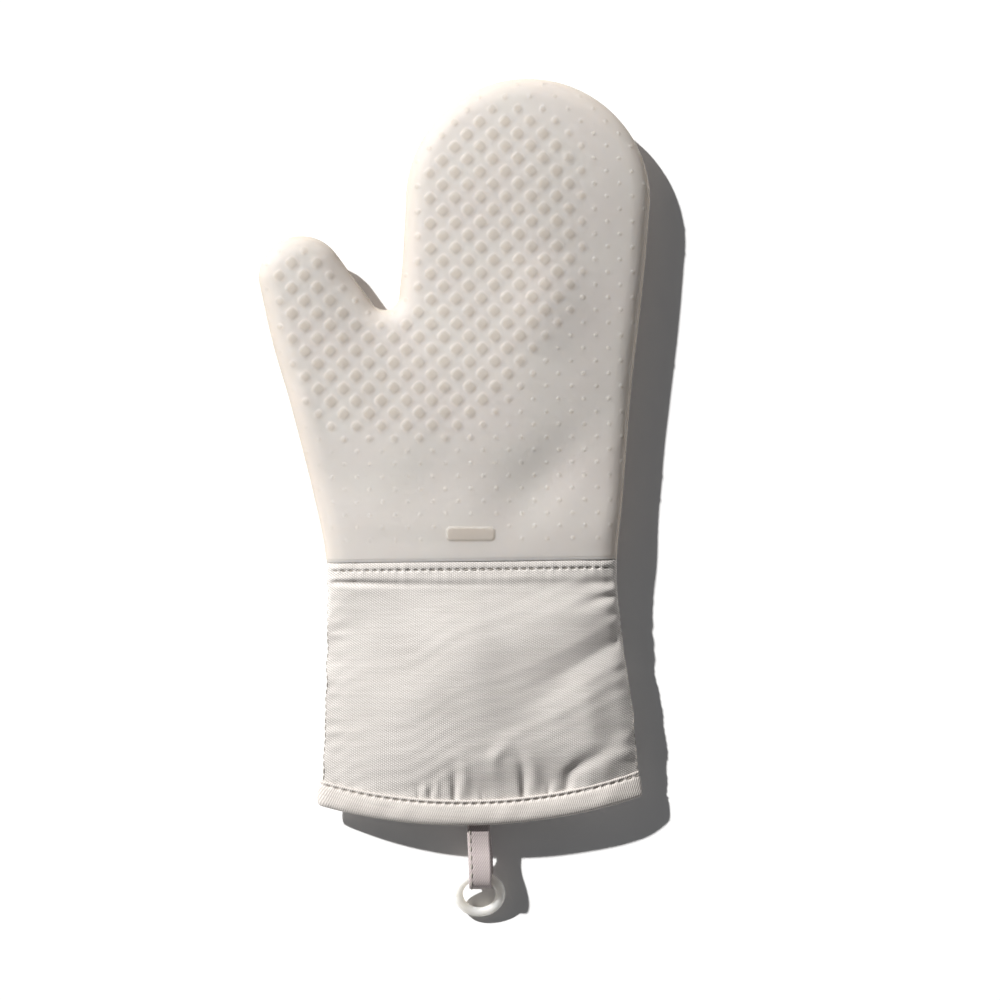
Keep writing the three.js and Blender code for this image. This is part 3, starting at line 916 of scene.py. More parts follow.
def fibre_material(name, light, dark, scale, depth):
    """Loose or twisted fibre, for the batting and the threads."""
    material, tree, shader = new_material(name)
    place = object_place(tree)
    fibres = noise_node(tree, place, scale, 5.0)
    share = ranged(tree, fibres, 0.3, 0.7, 0, 1)
    wire(tree, shader, Base_Color=mix_colours(tree, share, dark, light), Roughness=0.8,
         Normal=bump_node(tree, fibres, depth, 0.8), Sheen_Weight=0.3)
    return material


def ring_material():
    """Frosted, slightly translucent moulded plastic."""
    material, tree, shader = new_material("ring_plastic")
    place = object_place(tree)
    clouds = ranged(tree, noise_node(tree, place, 120, 2.0), 0.3, 0.7, 0, 1)
    top = mix_colours(tree, clouds, (0.80, 0.765, 0.695), (0.82, 0.775, 0.69))
    # Painted shade: the ring's steep sides get a darker colour, by how upright the surface stands.
    colour = mix_colours(tree, painted_side_shade(tree, 0.6, 0.1), top, (0.62, 0.58, 0.505))
    scuffs = noise_node(tree, place, 900, 3.0)
    wire(tree, shader, Base_Color=colour, Roughness=ranged(tree, scuffs, 0.3, 0.7, 0.55, 0.7),
         Normal=bump_node(tree, scuffs, 0.01, 0.4), Specular_IOR_Level=0.15, Subsurface_Weight=1.0,
         Subsurface_Radius=(1.0, 0.95, 0.88), Subsurface_Scale=14.0 * MM)
    return material


# ---------------------------------------------------------------- cuff panels

SECTION_STEP = 0.62  # distance between points round the cuff
STITCH_PITCH = 3.85
STITCH_SHARE = 0.62  # how much of the pitch the thread shows on top
STITCH_REACH = 0.85  # half width of the groove that the thread pulls


def hem_line(x, radius):
    return HEM_ARC[1] - np.sqrt(radius**2 - (x - HEM_ARC[0]) ** 2)


def section_shares(y=-85.0):
    """Places across the cuff, from -1 to 1, at even steps round its section."""
    q = np.sin(np.linspace(-math.pi / 2, math.pi / 2, 2001))
    centre, half = sides_at(y)
    x = centre + half * q
    h = cuff_height(x, np.full_like(x, y))
    run = np.concatenate([[0], np.cumsum(np.hypot(np.diff(x), np.diff(h)))])
    count = int(run[-1] / SECTION_STEP)
    even = np.linspace(0, run[-1], count + 1)
    return np.interp(even, run, q), even - run[-1] / 2


def corner_lift(x, y):
    """The hem's right corner stands a little off the table."""
    return 2.2 * smoothstep(x, 36, 84) * smoothstep(-y, 48, 96)


HEM_DROOP = 0.26  # how much of its half thickness the front loses by the hem


def front_share(y):
    return 1 - HEM_DROOP * smoothstep(-y, 84, 140)


TABLE_GAP, TABLE_SOFT = 0.12, 0.35


def on_table(points):
    """Flattens what would sink into the table, in place."""
    over = (points[..., 2] - TABLE_GAP) / TABLE_SOFT
    points[..., 2] = TABLE_GAP + TABLE_SOFT * np.logaddexp(0, over)


def cuff_point(q, row, side):
    """Points of the cuff form. row(x) gives y for x, and side is 1 for the front and -1 for the back."""
    x = CUFF_CENTRE_X + 65 * q
    for _ in range(3):
        y = row(x)
        centre, half = sides_at(y)
        x = centre + half * q
    height = cuff_height(x, y) * (front_share(y) if side > 0 else 1)
    z = middle_at(y) + corner_lift(x, y) + side * height
    return np.stack([x, y + 0 * x, z], -1)


# Folds of the front panel, from the seam that pulls them outwards: points, width, depth.
FRONT_CREASES = [
    ([(-57, -37.0), (-44, -36.9), (-10, -37.4)], 1.15, 1.0),
    ([(-57, -37.0), (10, -37.4), (90, -36.6)], 0.9, 0.3),
    ([(74, -37.2), (64, -36.7), (52, -37.8)], 1.9, 1.0),
    ([(75, -42.0), (66, -43.2), (58, -45.6), (48, -50)], 1.6, 1.1),
    ([(76, -50.0), (70, -50.8), (64, -48.6)], 1.4, 0.7),
    ([(78, -60.5), (68, -64.5), (57, -70.5), (44, -79.5), (30, -92), (14, -108)], 4.8, 1.1),
    ([(50, -128), (51.5, -120), (57.5, -115.3), (65, -110.3), (72, -103.3), (78, -94)], 2.6, 1.0),
    ([(0.4, -133), (0.3, -124), (-0.6, -114)], 1.25, 0.9),
    ([(30.9, -133), (30.6, -122), (29, -114), (24, -106)], 1.5, 1.0),
    ([(-10.2, -132), (-10.4, -124)], 0.8, 0.45),
    ([(-15.6, -132), (-16.4, -124)], 0.8, 0.35),
    ([(41.5, -131), (42.5, -123)], 0.9, 0.5),
    ([(12.5, -133), (11.8, -126)], 0.8, 0.3),
    ([(-57, -53.0), (-49, -52.0)], 0.9, 0.5),
    ([(-57, -58.8), (-42, -57.0)], 1.1, 0.5),
    ([(-58, -41.0), (-52, -40.3)], 0.7, 0.35),
    ([(-58, -73.0), (-49, -71.8)], 1.0, 0.35),
    ([(-59, -88.0), (-51, -87.4)], 1.0, 0.25),
    ([(78, -75), (70, -74.5)], 1.2, 0.4),
]

# Soft ridges of the front panel: points, width, height.
FRONT_SWELLS = [
    ([(-62, -34.2), (-20, -34.4), (20, -34.2), (80, -33.8)], 1.9, 0.4),
    ([(32, -105), (50, -88), (66, -74)], 6.5, 0.35),
    ([(56, -130), (62, -122), (70, -115), (81, -107)], 5.0, 0.85),
    ([(5.6, -133), (5.3, -125), (3.9, -114)], 2.3, 0.55),
    ([(36.2, -132), (35.8, -121), (33, -113)], 2.4, 0.55),
    ([(17.5, -120), (19, -111), (28, -104)], 3.0, 0.8),
    ([(-12.8, -133), (-12.8, -125)], 1.1, 0.4),
    ([(-7.4, -133), (-7.2, -124)], 1.1, 0.45),
    ([(-40, -104), (-8, -82), (30, -58)], 9.0, 0.6),
    ([(-50, -72), (-24, -50)], 8.0, 0.4),
    ([(55, -80), (60, -96), (62, -108)], 6.0, 0.9),
]
FRONT_CROWN = 2.6  # how much the front panel puffs up between its seams
FRONT_SHOULDER = 3.2  # and how much more it does just inside its right seam


def crease(x, y, points, width, deep):
    """A fold line: narrow and deep at its first point, widening and fading along its length."""
    away, share = line_distance(x, y, smooth_line(points))
    local = width * (0.8 + 1.0 * share)
    valley = np.exp(-((away / local) ** 2))
    ridge = np.exp(-(((away - 2.1 * local) / (1.3 * local)) ** 2))
    return (1 - smoothstep(share, 0.15, 1.0)) * deep * (0.25 * ridge - valley)


def ripple(run, seed, low, high, count):
    """A sum of waves of random lengths along a line, about -1 to 1."""
    own = np.random.default_rng(seed)
    lengths, phases = own.uniform(low, high, count), own.uniform(0, math.tau, count)
    return sum(np.sin(math.tau * run / n + p) for n, p in zip(lengths, phases)) / count**0.5 / 1.3


def back_folds(x, y):
    """Scattered shallow creases of the panel that lies underneath."""
    own = np.random.default_rng(5)
    folds = 0
    for _ in range(14):
        start = np.array([own.uniform(-45, 65), own.uniform(-125, -45)])
        turn = own.uniform(-0.5, 0.9)
        reach = own.uniform(14, 26) * np.array([math.cos(turn), math.sin(turn)])
        line = [start, start + 0.5 * reach + own.uniform(-1, 1, 2), start + reach]
        folds = folds + crease(x, y, line, own.uniform(1.2, 2.4), own.uniform(0.3, 0.8))
    return folds


def front_folds(x, y):
    folds = sum(crease(x, y, *one) for one in FRONT_CREASES)
    return folds + sum(swell(x, y, *one) for one in FRONT_SWELLS)


def quarter_round(run, reach):
    """0 to 1 over a reach, steepest where it starts."""
    return np.sin(0.5 * math.pi * np.clip(run / reach, 0, 1))


def front_puff(x, y, edge):
    """How much the front panel puffs up; edge is the distance from the nearer side seam."""
    centre, half = sides_at(y)
    share = (x - centre) / half
    crown = FRONT_CROWN * (1 - share**2) * (0.55 + 0.45 * smoothstep(share, -0.9, 0.1))
    crown *= smoothstep(-y, 38, 66) * (1 - smoothstep(-y, 112, 134))
    from_right = np.where(x > CUFF_CENTRE_X, edge, 99.0)
    shoulder = 0.6 * quarter_round(from_right, 22) + 0.4 * quarter_round(from_right, 8)
    shoulder *= 1 - smoothstep(from_right, 20, 62)
    return crown + FRONT_SHOULDER * shoulder * smoothstep(-y, 36, 52) * (1 - smoothstep(-y, 106, 126))


def panel_folds(x, y, edge, side):
    """Height of a cuff panel's folds; edge is the distance from the nearer side seam."""
    right = x > CUFF_CENTRE_X
    pucker = ripple(y, 11 + 3 * side, 5, 9, 4) * right + ripple(y, 17 + 5 * side, 5, 11, 4) * ~right
    folds = np.where(right, 0.28, 0.42) * pucker * np.exp(-edge / 6.0)
    above_hem = y - hem_line(x, SEAM_RADIUS)
    folds += 0.2 * ripple(x, 23 + side, 4.5, 11, 5) * np.exp(-np.maximum(above_hem, 0) / 6.0)
    below_joint = edge_line(x, JOINT_STITCH_Y) - y
    folds += 0.1 * ripple(x, 31 + side, 3, 8, 5) * np.exp(-np.abs(below_joint) / 5.0)
    folds += 0.3 * ripple(x * 0.5 - y * 0.86, 41 + side, 22, 50, 4) * smoothstep(edge, 0, 20)
    folds += 0.06 * ripple(x * 0.4 - y * 0.9 + 2 * ripple(x, 47, 20, 60, 3), 43 + side, 5, 12, 5)
    return folds + (front_folds(x, y) if side > 0 else back_folds(x, y))


def stitch_groove(along_row, off_row, deep):
    """Groove that a row of stitches pulls: deep under each stitch, shallow between them."""
    phase = np.mod(along_row / STITCH_PITCH, 1.0)
    under = smoothstep(phase, 0.0, 0.16) * (1 - smoothstep(phase, STITCH_SHARE - 0.08, STITCH_SHARE + 0.12))
    return -deep * (0.04 + 0.96 * under) * np.exp(-((off_row / (STITCH_REACH * 0.62)) ** 2))


PANEL_ROWS = np.concatenate([
    np.linspace(0, 7.2, 25), np.linspace(7.9, 16, 12), np.linspace(16.8, 113, 110),
]) / 113.0  # shares of the way from fold to hem, closest together by the joint's stitches
FOLD_Y = SHELL_EDGE_Y - 0.2  # top of the cuff's turned-under fold
PANEL_SINK = 0.25  # the panels lie this much under the moulded form
JOINT_GROOVE = 0.72  # depth of the groove that the joint's stitches pull
FOLD_UNDER = [(4.5, 1.4), (2.0, 1.4), (0.5, 1.3), (-0.1, 1.0), (-0.25, 0.5)]  # run back, drop


def panel_rise(x, y, run, edge, side):
    """Height of a cuff panel above the moulded form."""
    from_fold = edge_line(x, FOLD_Y) - y
    rise = panel_folds(x, y, edge, side) - PANEL_SINK * (1 - smoothstep(from_fold, 6, 22))
    rise += stitch_groove(run, edge_line(x, JOINT_STITCH_Y) - y, JOINT_GROOVE)
    rise -= 0.2 * (1 - smoothstep(from_fold, 0, 0.8))
    rise += 0.22 * np.exp(-(((from_fold - 1.9) / 1.1) ** 2))
    rise *= smoothstep(edge, 0, 4.5)
    return rise + (front_puff(x, y, edge) if side > 0 else 0)


def seam_shift(y, right):
    """How far the side seams wander, sideways and up, from where the form puts them."""
    seed = 61 + right
    return 0.3 * ripple(y, seed, 6, 24, 5) - 0.25, 0.5 * ripple(y, seed + 2, 9, 30, 4)


def panel_row(t):
    """A row of the cuff panels, as y for x: 0 is the fold and 1 is the hem."""
    return lambda x: (1 - t) * edge_line(x, FOLD_Y) + t * hem_line(x, SEAM_RADIUS + 4)


def make_cuff_panel(side, material):
    shares, run = section_shares()
    points = np.array([cuff_point(shares, panel_row(t), side) for t in PANEL_ROWS])
    normals = grid_normals(points)
    normals *= np.sign(np.median(normals[..., 2])) * side
    x, y = points[..., 0], points[..., 1]
    runs = np.broadcast_to(run, x.shape)
    edge = np.minimum(runs - run[0], run[-1] - runs)
    cloth = np.stack([runs, edge_line(x, FOLD_Y) - y, 0 * x], -1)
    points = points + normals * panel_rise(x, y, runs, edge, side)[..., None]
    right = x > CUFF_CENTRE_X
    out, up = np.where(right, seam_shift(y, 1), seam_shift(y, 0))
    near = np.exp(-edge / 2.5) * smoothstep(-y, 31, 38) * (1 - smoothstep(-y, 118, 128))
    points[..., 0] += np.where(right, 1, -1) * out * near
    points[..., 2] += up * near
    on_table(points)
    under = []
    for back, drop in FOLD_UNDER:
        line = points[0] - normals[0] * drop
        line[:, 1] -= back
        under.append(line)
    points = np.concatenate([np.array(under), points])
    tucked = [cloth[0] - (0, 1.0 + k, 0) for k in range(len(FOLD_UNDER), 0, -1)]
    cloth = np.concatenate([np.array(tucked), cloth])
    faces = grid_faces(*points.shape[:2])
    name = "cuff_front_cloth" if side > 0 else "cuff_back_cloth"
    piece = make_piece(name, points.reshape(-1, 3), faces, material, "mitt", cloth=cloth.reshape(-1, 3))
    face_up = sum(p.normal.z for p in piece.data.polygons) * side
    if face_up < 0:
        piece.data.flip_normals()
    thicken(piece, 0.6, share=np.concatenate([edge[:len(under)], edge]) / 3.5)
    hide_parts("cuff_front_panel" if side > 0 else "cuff_back_panel")
    return piece


# ---------------------------------------------------------------- closed rings round the mitt


def closed_section(row):
    """Points round the whole cuff at a row, front then back, counted at even steps."""
    shares, run = section_shares()
    front, back = cuff_point(shares, row, 1), cuff_point(shares, row, -1)
    ring = np.concatenate([front[:-1], back[::-1][:-1]])
    length = run[-1] - run[0]
    around = np.concatenate([run[:-1], run[:-1] + length])
    return ring, around, 2 * length


def ring_normals(ring):
    ahead, behind = np.roll(ring, -1, axis=0), np.roll(ring, 1, axis=0)
    way = ahead - behind
    normals = unit(np.stack([-way[:, 2], 0 * way[:, 0], way[:, 0]], -1))
    for _ in range(24):
        normals = unit(np.roll(normals, 1, axis=0) + 2 * normals + np.roll(normals, -1, axis=0))
    return normals


# The binding's cloth, as (arc radius, distance outwards from the cuff's surface), from inside to outside.
BINDING_LINE = [
    (249.0, -3.0), (249.4, -3.7), (251.0, -3.85), (253.0, -3.9), (254.6, -3.75), (255.8, -3.1), (256.7, -2.1),
    (257.15, -1.0), (257.1, 0.2), (256.5, 1.2), (255.3, 1.8), (253.8, 2.0), (252.0, 2.0), (250.4, 1.8),
    (249.3, 1.6), (248.6, 1.4), (248.2, 1.25), (247.9, 1.15), (247.6, 1.1), (247.3, 1.1), (247.0, 1.15),
    (246.65, 1.25), (246.3, 1.2), (246.0, 1.0), (245.85, 0.65), (245.9, 0.2), (246.4, -0.1), (247.5, -0.15),
]
BINDING_BELLY = (252.4, 2.6)  # arc radius where the binding is plumpest, and how far that reaches
HEM_STITCH_RADIUS = 247.6
HEM_PITCH = 3.7
HEM_GROOVE = 0.95  # depth of the groove that the hem's stitches pull
JOINT_STITCH_RISE, HEM_STITCH_RISE = -0.66, 0.42  # of the threads, from the cuff's surface


def make_binding(material):
    base, around, length = closed_section(lambda x: hem_line(x, SEAM_RADIUS + 4))
    rows, cloth, wide = [], [], 0.0
    plump = 0.28 * ripple(around, 3, 9, 31, 5)
    for k, (radius, outwards) in enumerate(BINDING_LINE):
        ring, _, _ = closed_section(lambda x, r=radius: hem_line(x, r))
        normal = ring_normals(ring)
        from_end = np.minimum(np.abs(around - length / 4), length / 2)
        off = outwards * (1 - 0.5 * (outwards > 0) * np.exp(-((from_end / 9) ** 2)))
        if outwards > 0:
            belly = math.exp(-(((radius - BINDING_BELLY[0]) / BINDING_BELLY[1]) ** 2))
            off += plump * belly
            off += stitch_groove(around * STITCH_PITCH / HEM_PITCH, radius - HEM_STITCH_RADIUS, HEM_GROOVE)
        rows.append(ring + normal * off[:, None])
        if k:
            wide += math.dist(BINDING_LINE[k - 1], BINDING_LINE[k])
        cloth.append(np.stack([around, np.full(len(ring), wide), 0 * around], -1))
    points, cloth = np.array(rows), np.array(cloth)
    on_table(points)
    faces = grid_faces(len(rows), len(base), closed=True)
    piece = make_piece("hem_binding_cloth", points.reshape(-1, 3), faces, material, "mitt",
                       cloth=cloth.reshape(-1, 3))
    outward_check(piece)
    thicken(piece, 0.5)
    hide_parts("hem_binding")
    return piece


def outward_check(piece):
    """Turns the piece's faces over if its outer side faces inwards."""
    mesh = piece.data
    top = max(mesh.polygons, key=lambda p: p.center.z)
    if top.normal.z < 0:
        mesh.flip_normals()


# ---------------------------------------------------------------- stitches


def stitch_tube(path, radius, sides=6):
    """Closed tube along a few points, narrowing at both ends, as points and faces."""
    path = np.asarray(path, float)
    way = unit(np.gradient(path, axis=0))
    side = unit(np.cross(way, np.array([0.13, 0.21, 0.97])))
    up = np.cross(side, way)
    share = np.linspace(0, 1, len(path))
    size = radius * np.clip(1 - np.abs(2 * share - 1) ** 6, 0.25, 1)
    angles = np.arange(sides) * math.tau / sides
    ring = side[:, None] * np.cos(angles)[None, :, None] + up[:, None] * np.sin(angles)[None, :, None]
    points = (path[:, None] + ring * size[:, None, None]).reshape(-1, 3)
    faces = [tuple(f) for f in grid_faces(len(path), sides, closed=True)[:, ::-1]]
    faces.append(tuple(range(sides)))
    faces.append(tuple(range(len(points) - 1, len(points) - 1 - sides, -1)))
    return points, faces


def join_tubes(tubes):
    points, faces, start = [], [], 0
    for tube_points, tube_faces in tubes:
        points.append(tube_points)
        faces.extend(tuple(k + start for k in f) for f in tube_faces)
        start += len(tube_points)
    return np.concatenate(points), faces


def make_ring_stitches(name, row, height, pitch, material, node):
    """A row of stitches right round the mitt, each slanting a little across the row."""
    ring, around, length = closed_section(row)
    normal = ring_normals(ring)
    loop, normals = np.concatenate([ring, ring[:1]]), np.concatenate([normal, normal[:1]])
    run = np.concatenate([around, [around[0] + length]])
    first = math.ceil(around[0] / pitch)
    tubes = []
    for k in range(first, first + int(length // pitch)):
        at = (k + np.linspace(-0.02, STITCH_SHARE + 0.1, 6)) * pitch
        place = np.stack([np.interp(at, run, loop[:, a]) for a in range(3)], -1)
        out = unit(np.stack([np.interp(at, run, normals[:, a]) for a in range(3)], -1))
        place += out * (height - 0.45 * np.abs(np.linspace(-1, 1, 6)) ** 4)[:, None]
        place[:, 1] += np.linspace(-0.16, 0.16, 6) * np.sign(out[:, 2])
        tubes.append(stitch_tube(place, 0.23))
    points, faces = join_tubes(tubes)
    piece = make_piece(name, points, faces, material, "mitt")
    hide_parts(node)
    return piece


SIDE_STITCHES = np.arange(-36.0, -127.0, -3.2)  # where each stitch of a side seam starts
SIDE_STITCH_LENGTH = 2.5


def make_side_stitches(name, edge, right, material, node):
    """Short stitches sunk in a side seam."""
    tubes = []
    for start in SIDE_STITCHES:
        y = np.linspace(start, start - SIDE_STITCH_LENGTH, 6)
        out, up = seam_shift(y, right)
        x = along(edge, y) + (1 if right else -1) * (out - 0.1 - 0.3 * np.abs(np.linspace(-1, 1, 6)) ** 4)
        z = middle_at(y) + corner_lift(x, y) + up
        tubes.append(stitch_tube(np.stack([x, y, z], -1), 0.24))
    points, faces = join_tubes(tubes)
    piece = make_piece(name, points, faces, material, "mitt")
    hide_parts(node)
    return piece


# ---------------------------------------------------------------- lining and batting


def layer_depth(y, hand, hem):
    """A layer's depth, closing up towards the hem."""
    return hem + (hand - hem) * smoothstep(y, -66, -38)


def inner_field(points, hand, hem):
    """Field of a layer inside the mitt, as deep as hand in the shell and as hem at the mouth."""
    x, y = points[..., 0], points[..., 1]
    z = points[..., 2] - corner_lift(x, y)
    depth = layer_depth(y, hand, hem)
    squared = height_squared(x, y, depth, depth + SHELL_THIN)
    cuff = (cuff_height(x, y, depth, depth) * np.where(z > middle_at(y), front_share(y), 1)) ** 2
    inside = sides_at(y)[1] - depth > np.abs(x - sides_at(y)[0])
    cuff = np.where(inside, cuff, squared)
    blend = smoothstep(-y, 30, 50)
    pillow = (squared * (1 - blend) + cuff * blend - (z - middle_at(y)) ** 2) / FIELD_SCALE
    return on_floor(pillow, z - SHELL_FLOOR - depth - lift_at(y))


QUILT_PITCH = 22.0
SEAM_GAP = 8.0  # the layers stop this far short of the cuff's side seams
LAYER_LOW_Y = -152  # below the lowest place of any layer


def quilting(x, y):
    """0 on the quilting lines and 1 in the middle of each diamond."""
    u, v = (x + y) / math.sqrt(2), (y - x) / math.sqrt(2)
    lines = [np.abs(np.sin(math.pi * w / QUILT_PITCH)) for w in (u, v)]
    return np.minimum(lines[0], lines[1]) ** 0.5


def make_inner_layer(kind, hand, hem, spacing, thickness, puff, material, hem_radius):
    """Front and back halves of a layer inside the mitt, each a quilted sheet."""

    def field(p):
        return inner_field(p, hand, hem)

    points, quads = net_surface(field, spacing, LAYER_LOW_Y)
    points, normals = onto_surface(field, points)
    keep = points[:, 1] > hem_line(points[:, 0], hem_radius)
    centre, half = sides_at(points[:, 1])
    keep &= np.abs(points[:, 0] - centre) < half - SEAM_GAP * smoothstep(-points[:, 1], 44, 80)
    quads = quads[keep[quads].all(axis=1)]
    front = points[:, 2] > middle_at(points[:, 1])
    points = points - normals * (puff * quilting(points[:, 0], points[:, 1]))[:, None]
    cloth = np.stack([points[:, 0], points[:, 1], 0 * points[:, 0]], -1)
    pieces = []
    for side, chosen in (("front", front[quads].sum(axis=1) >= 2), ("back", front[quads].sum(axis=1) < 2)):
        used, fresh = np.unique(quads[chosen], return_inverse=True)
        name = f"{kind}_{side}_quilt"
        piece = make_piece(name, points[used], fresh.reshape(-1, 4), material, "mitt", cloth=cloth[used])
        thicken(piece, thickness)
        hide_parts(f"{kind}_{side}")
        pieces.append(piece)
    return pieces


# ---------------------------------------------------------------- tape and ring

LOOP_LINE = [(0, 0.45), (5, 0.47), (9.5, 1.35), (14.5, 3.65), (19.5, 5.05), (23.6, 4.9), (26.2, 2.75)]
LOOP_REACH = 27.2
LOOP_SAG = 1.18  # the under ply hangs this much lower than the upper one stands high
RING_PIVOT = RING_CENTRE + RING_RADIUS * np.array([0, math.cos(RING_TILT), math.sin(RING_TILT)])
TAPE_DROP = math.atan2(TAPE_PIVOT[2] - RING_PIVOT[2], TAPE_PIVOT[1] - RING_PIVOT[1])


def tape_line():
    """The tape's middle line in side view: out of the hem, round the ring and back, and its run."""
    inside = TAPE_END_Y - TAPE_PIVOT[1]
    upper = [(-inside, 0.48), (-inside * 0.5, 0.48), *LOOP_LINE]
    knots = [*upper, (LOOP_REACH, 0), *[(x, -LOOP_SAG * y) for x, y in reversed(upper)]]
    knots = np.array(knots)
    run = np.concatenate([[0], np.cumsum(np.hypot(*np.diff(knots, axis=0).T))])
    fine = np.linspace(0, run[-1], 260)
    line = np.stack([along(list(zip(run, knots[:, k])), fine) for k in (0, 1)], -1)
    step = np.hypot(*np.diff(line, axis=0).T)
    return line, np.concatenate([[0], np.cumsum(step)])


def tape_to_space(line, x):
    """Side-view points placed in the frame: straight inside the hem, dropping outside it."""
    out = np.clip(line[:, 0], 0, None)
    inside = np.minimum(line[:, 0], 0)
    off = line[:, 1] * (line[:, 0] > 0)
    y = TAPE_PIVOT[1] - inside - out * math.cos(TAPE_DROP) - off * math.sin(TAPE_DROP)
    z = TAPE_PIVOT[2] - out * math.sin(TAPE_DROP) + line[:, 1] * math.cos(TAPE_DROP)
    return np.stack([x + 0 * y, y, z], -1)


TAPE_STITCH_INSET = 1.25
TAPE_LEAN, LOWER_PLY_LEAN = 0.75, 0.5  # how far right the loop leans, and its under ply further


def hinge_blend(piece):
    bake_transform(piece)


def tape_frame():
    """The tape's middle line, the run along it, its normals and its lean to the right."""
    line, run = tape_line()
    way = unit(np.gradient(line, axis=0))
    normal = np.stack([-way[:, 1], way[:, 0]], -1)
    lower = smoothstep(run, run[-1] * 0.44, run[-1] * 0.6)
    shift = TAPE_LEAN * smoothstep(line[:, 0], 0, 20)
    shift += LOWER_PLY_LEAN * lower * smoothstep(line[:, 0], 0, 14)
    return line, run, normal, shift


def make_tape(material):
    line, run, normal, shift = tape_frame()
    half_w, half_t = TAPE_WIDTH / 2, TAPE_PLY / 2
    across = np.concatenate([np.linspace(-1, 1, 15), np.linspace(1, -1, 15)[1:-1]])
    top = np.concatenate([np.ones(15), -np.ones(13)])
    edge = np.clip((1 - np.abs(across)) * half_w / 0.45, 0, 1)
    thick = half_t * np.sqrt(1 - (1 - edge) ** 2)
    selvedge = 1 + 0.12 * np.exp(-((((1 - np.abs(across)) * half_w - 0.5) / 0.4) ** 2))
    rows, cloth = [], []
    for k in range(len(line)):
        from_stitch = across * half_w + half_w - TAPE_STITCH_INSET
        groove = stitch_groove(np.full(len(across), run[k]), from_stitch, 0.36)
        grow = thick * selvedge * top + groove * top
        profile = line[k] + normal[k] * grow[:, None]
        x = TAPE_X + shift[k] + across * half_w
        rows.append(tape_to_space(profile, x))
        cloth.append(np.stack([across * half_w, np.full(len(across), run[k]), 0 * across], -1))
    points, cloth = np.array(rows), np.array(cloth)
    count = points.shape[1]
    faces = [tuple(f) for f in grid_faces(len(rows), count, closed=True)]
    faces.append(tuple(range(count))[::-1])
    last = (len(rows) - 1) * count
    faces.append(tuple(range(last, last + count)))
    piece = make_piece("hanging_tape_loop", points.reshape(-1, 3), faces, material, None,
                       cloth=cloth.reshape(-1, 3))
    face_outwards(piece)
    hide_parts("hanging_tape", "tape_sewn_end")
    hinge_blend(piece)
    return piece


def make_tape_stitches(material):
    line, run, normal, shift = tape_frame()
    tubes = []
    for k in range(int(run[-1] // STITCH_PITCH)):
        at = np.linspace(k * STITCH_PITCH, (k + STITCH_SHARE + 0.06) * STITCH_PITCH, 6)
        place = np.stack([np.interp(at, run, line[:, a]) for a in (0, 1)], -1)
        out = unit(np.stack([np.interp(at, run, normal[:, a]) for a in (0, 1)], -1))
        for face in (1, -1):
            bow = TAPE_PLY / 2 - 0.05 - 0.3 * np.abs(np.linspace(-1, 1, 6)) ** 4
            side = place + face * out * bow[:, None]
            x = TAPE_X + np.interp(at, run, shift) - TAPE_WIDTH / 2 + TAPE_STITCH_INSET
            tubes.append(stitch_tube(tape_to_space(side, x), 0.4))
    points, faces = join_tubes(tubes)
    piece = make_piece("tape_edge_stitches", points, faces, material, None)
    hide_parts("tape_stitch_thread")
    hinge_blend(piece)
    return piece


BAR_TACK_Y = -138


def make_bar_tack(material):
    """A close zigzag of thread on the underside of the sewn end."""
    turns, reach, swing = 29, 3.9, 1.5
    share = np.linspace(0, 1, turns)
    x = TAPE_X - reach + 2 * reach * share
    y = BAR_TACK_Y + np.where(np.arange(turns) % 2, swing, -swing)
    z = np.full(turns, TAPE_PIVOT[2] - TAPE_PLY - 0.08)
    corners = np.stack([x, y, z], -1)
    tubes = []
    for a, b in zip(corners, corners[1:]):
        path = a + (b - a) * np.linspace(0, 1, 5)[:, None]
        path[:, 2] -= 0.14 * np.sin(math.pi * np.linspace(0, 1, 5))
        tubes.append(stitch_tube(path, 0.17))
    points, faces = join_tubes(tubes)
    piece = make_piece("tape_bar_tack_stitches", points, faces, material, "mitt")
    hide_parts("tape_bar_tack_thread")
    return piece


RING_HANG = np.array([0.15, -0.5, 0.1])  # the ring hangs this far down in the loop
RING_VISUAL = (9.35, 2.1)  # radius and section radius of the moulded ring


def make_ring(material):
    """A moulded ring: a slightly flattened section with a faint parting line round its middle."""
    around, sides = 128, 28
    turn = np.arange(around) * math.tau / around
    angle = np.arange(sides) * math.tau / sides
    parting = 0.06 * np.exp(-((np.sin(angle) / 0.12) ** 2)) * (np.cos(angle) > 0)
    section = RING_VISUAL[1] * (1 - 0.03 * np.abs(np.sin(angle)) + parting)
    gate = 1 + 0.05 * np.exp(-(((turn - 4.1) / 0.09) ** 2))
    radial = RING_VISUAL[0] + section[None, :] * np.cos(angle)[None, :] * gate[:, None]
    rise = section[None, :] * np.sin(angle)[None, :] * np.ones((around, 1))
    x, flat = radial * np.cos(turn)[:, None], radial * np.sin(turn)[:, None]
    y = flat * math.cos(RING_TILT) - rise * math.sin(RING_TILT)
    z = flat * math.sin(RING_TILT) + rise * math.cos(RING_TILT)
    points = np.stack([x, y, z], -1) + RING_CENTRE + RING_HANG
    count = around * sides
    faces = grid_faces(around, sides, closed=True)
    last = np.stack([np.arange(sides), (np.arange(sides) + 1) % sides], -1)
    closing = np.stack([last[:, 0] + count - sides, last[:, 1] + count - sides, last[:, 1], last[:, 0]], -1)
    piece = make_piece("hanging_ring_moulding", points.reshape(-1, 3), np.concatenate([faces, closing]),
                       material, "ring")
    face_outwards(piece)
    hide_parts("hanging_ring")
    return piece


# ---------------------------------------------------------------- camera, light and floor

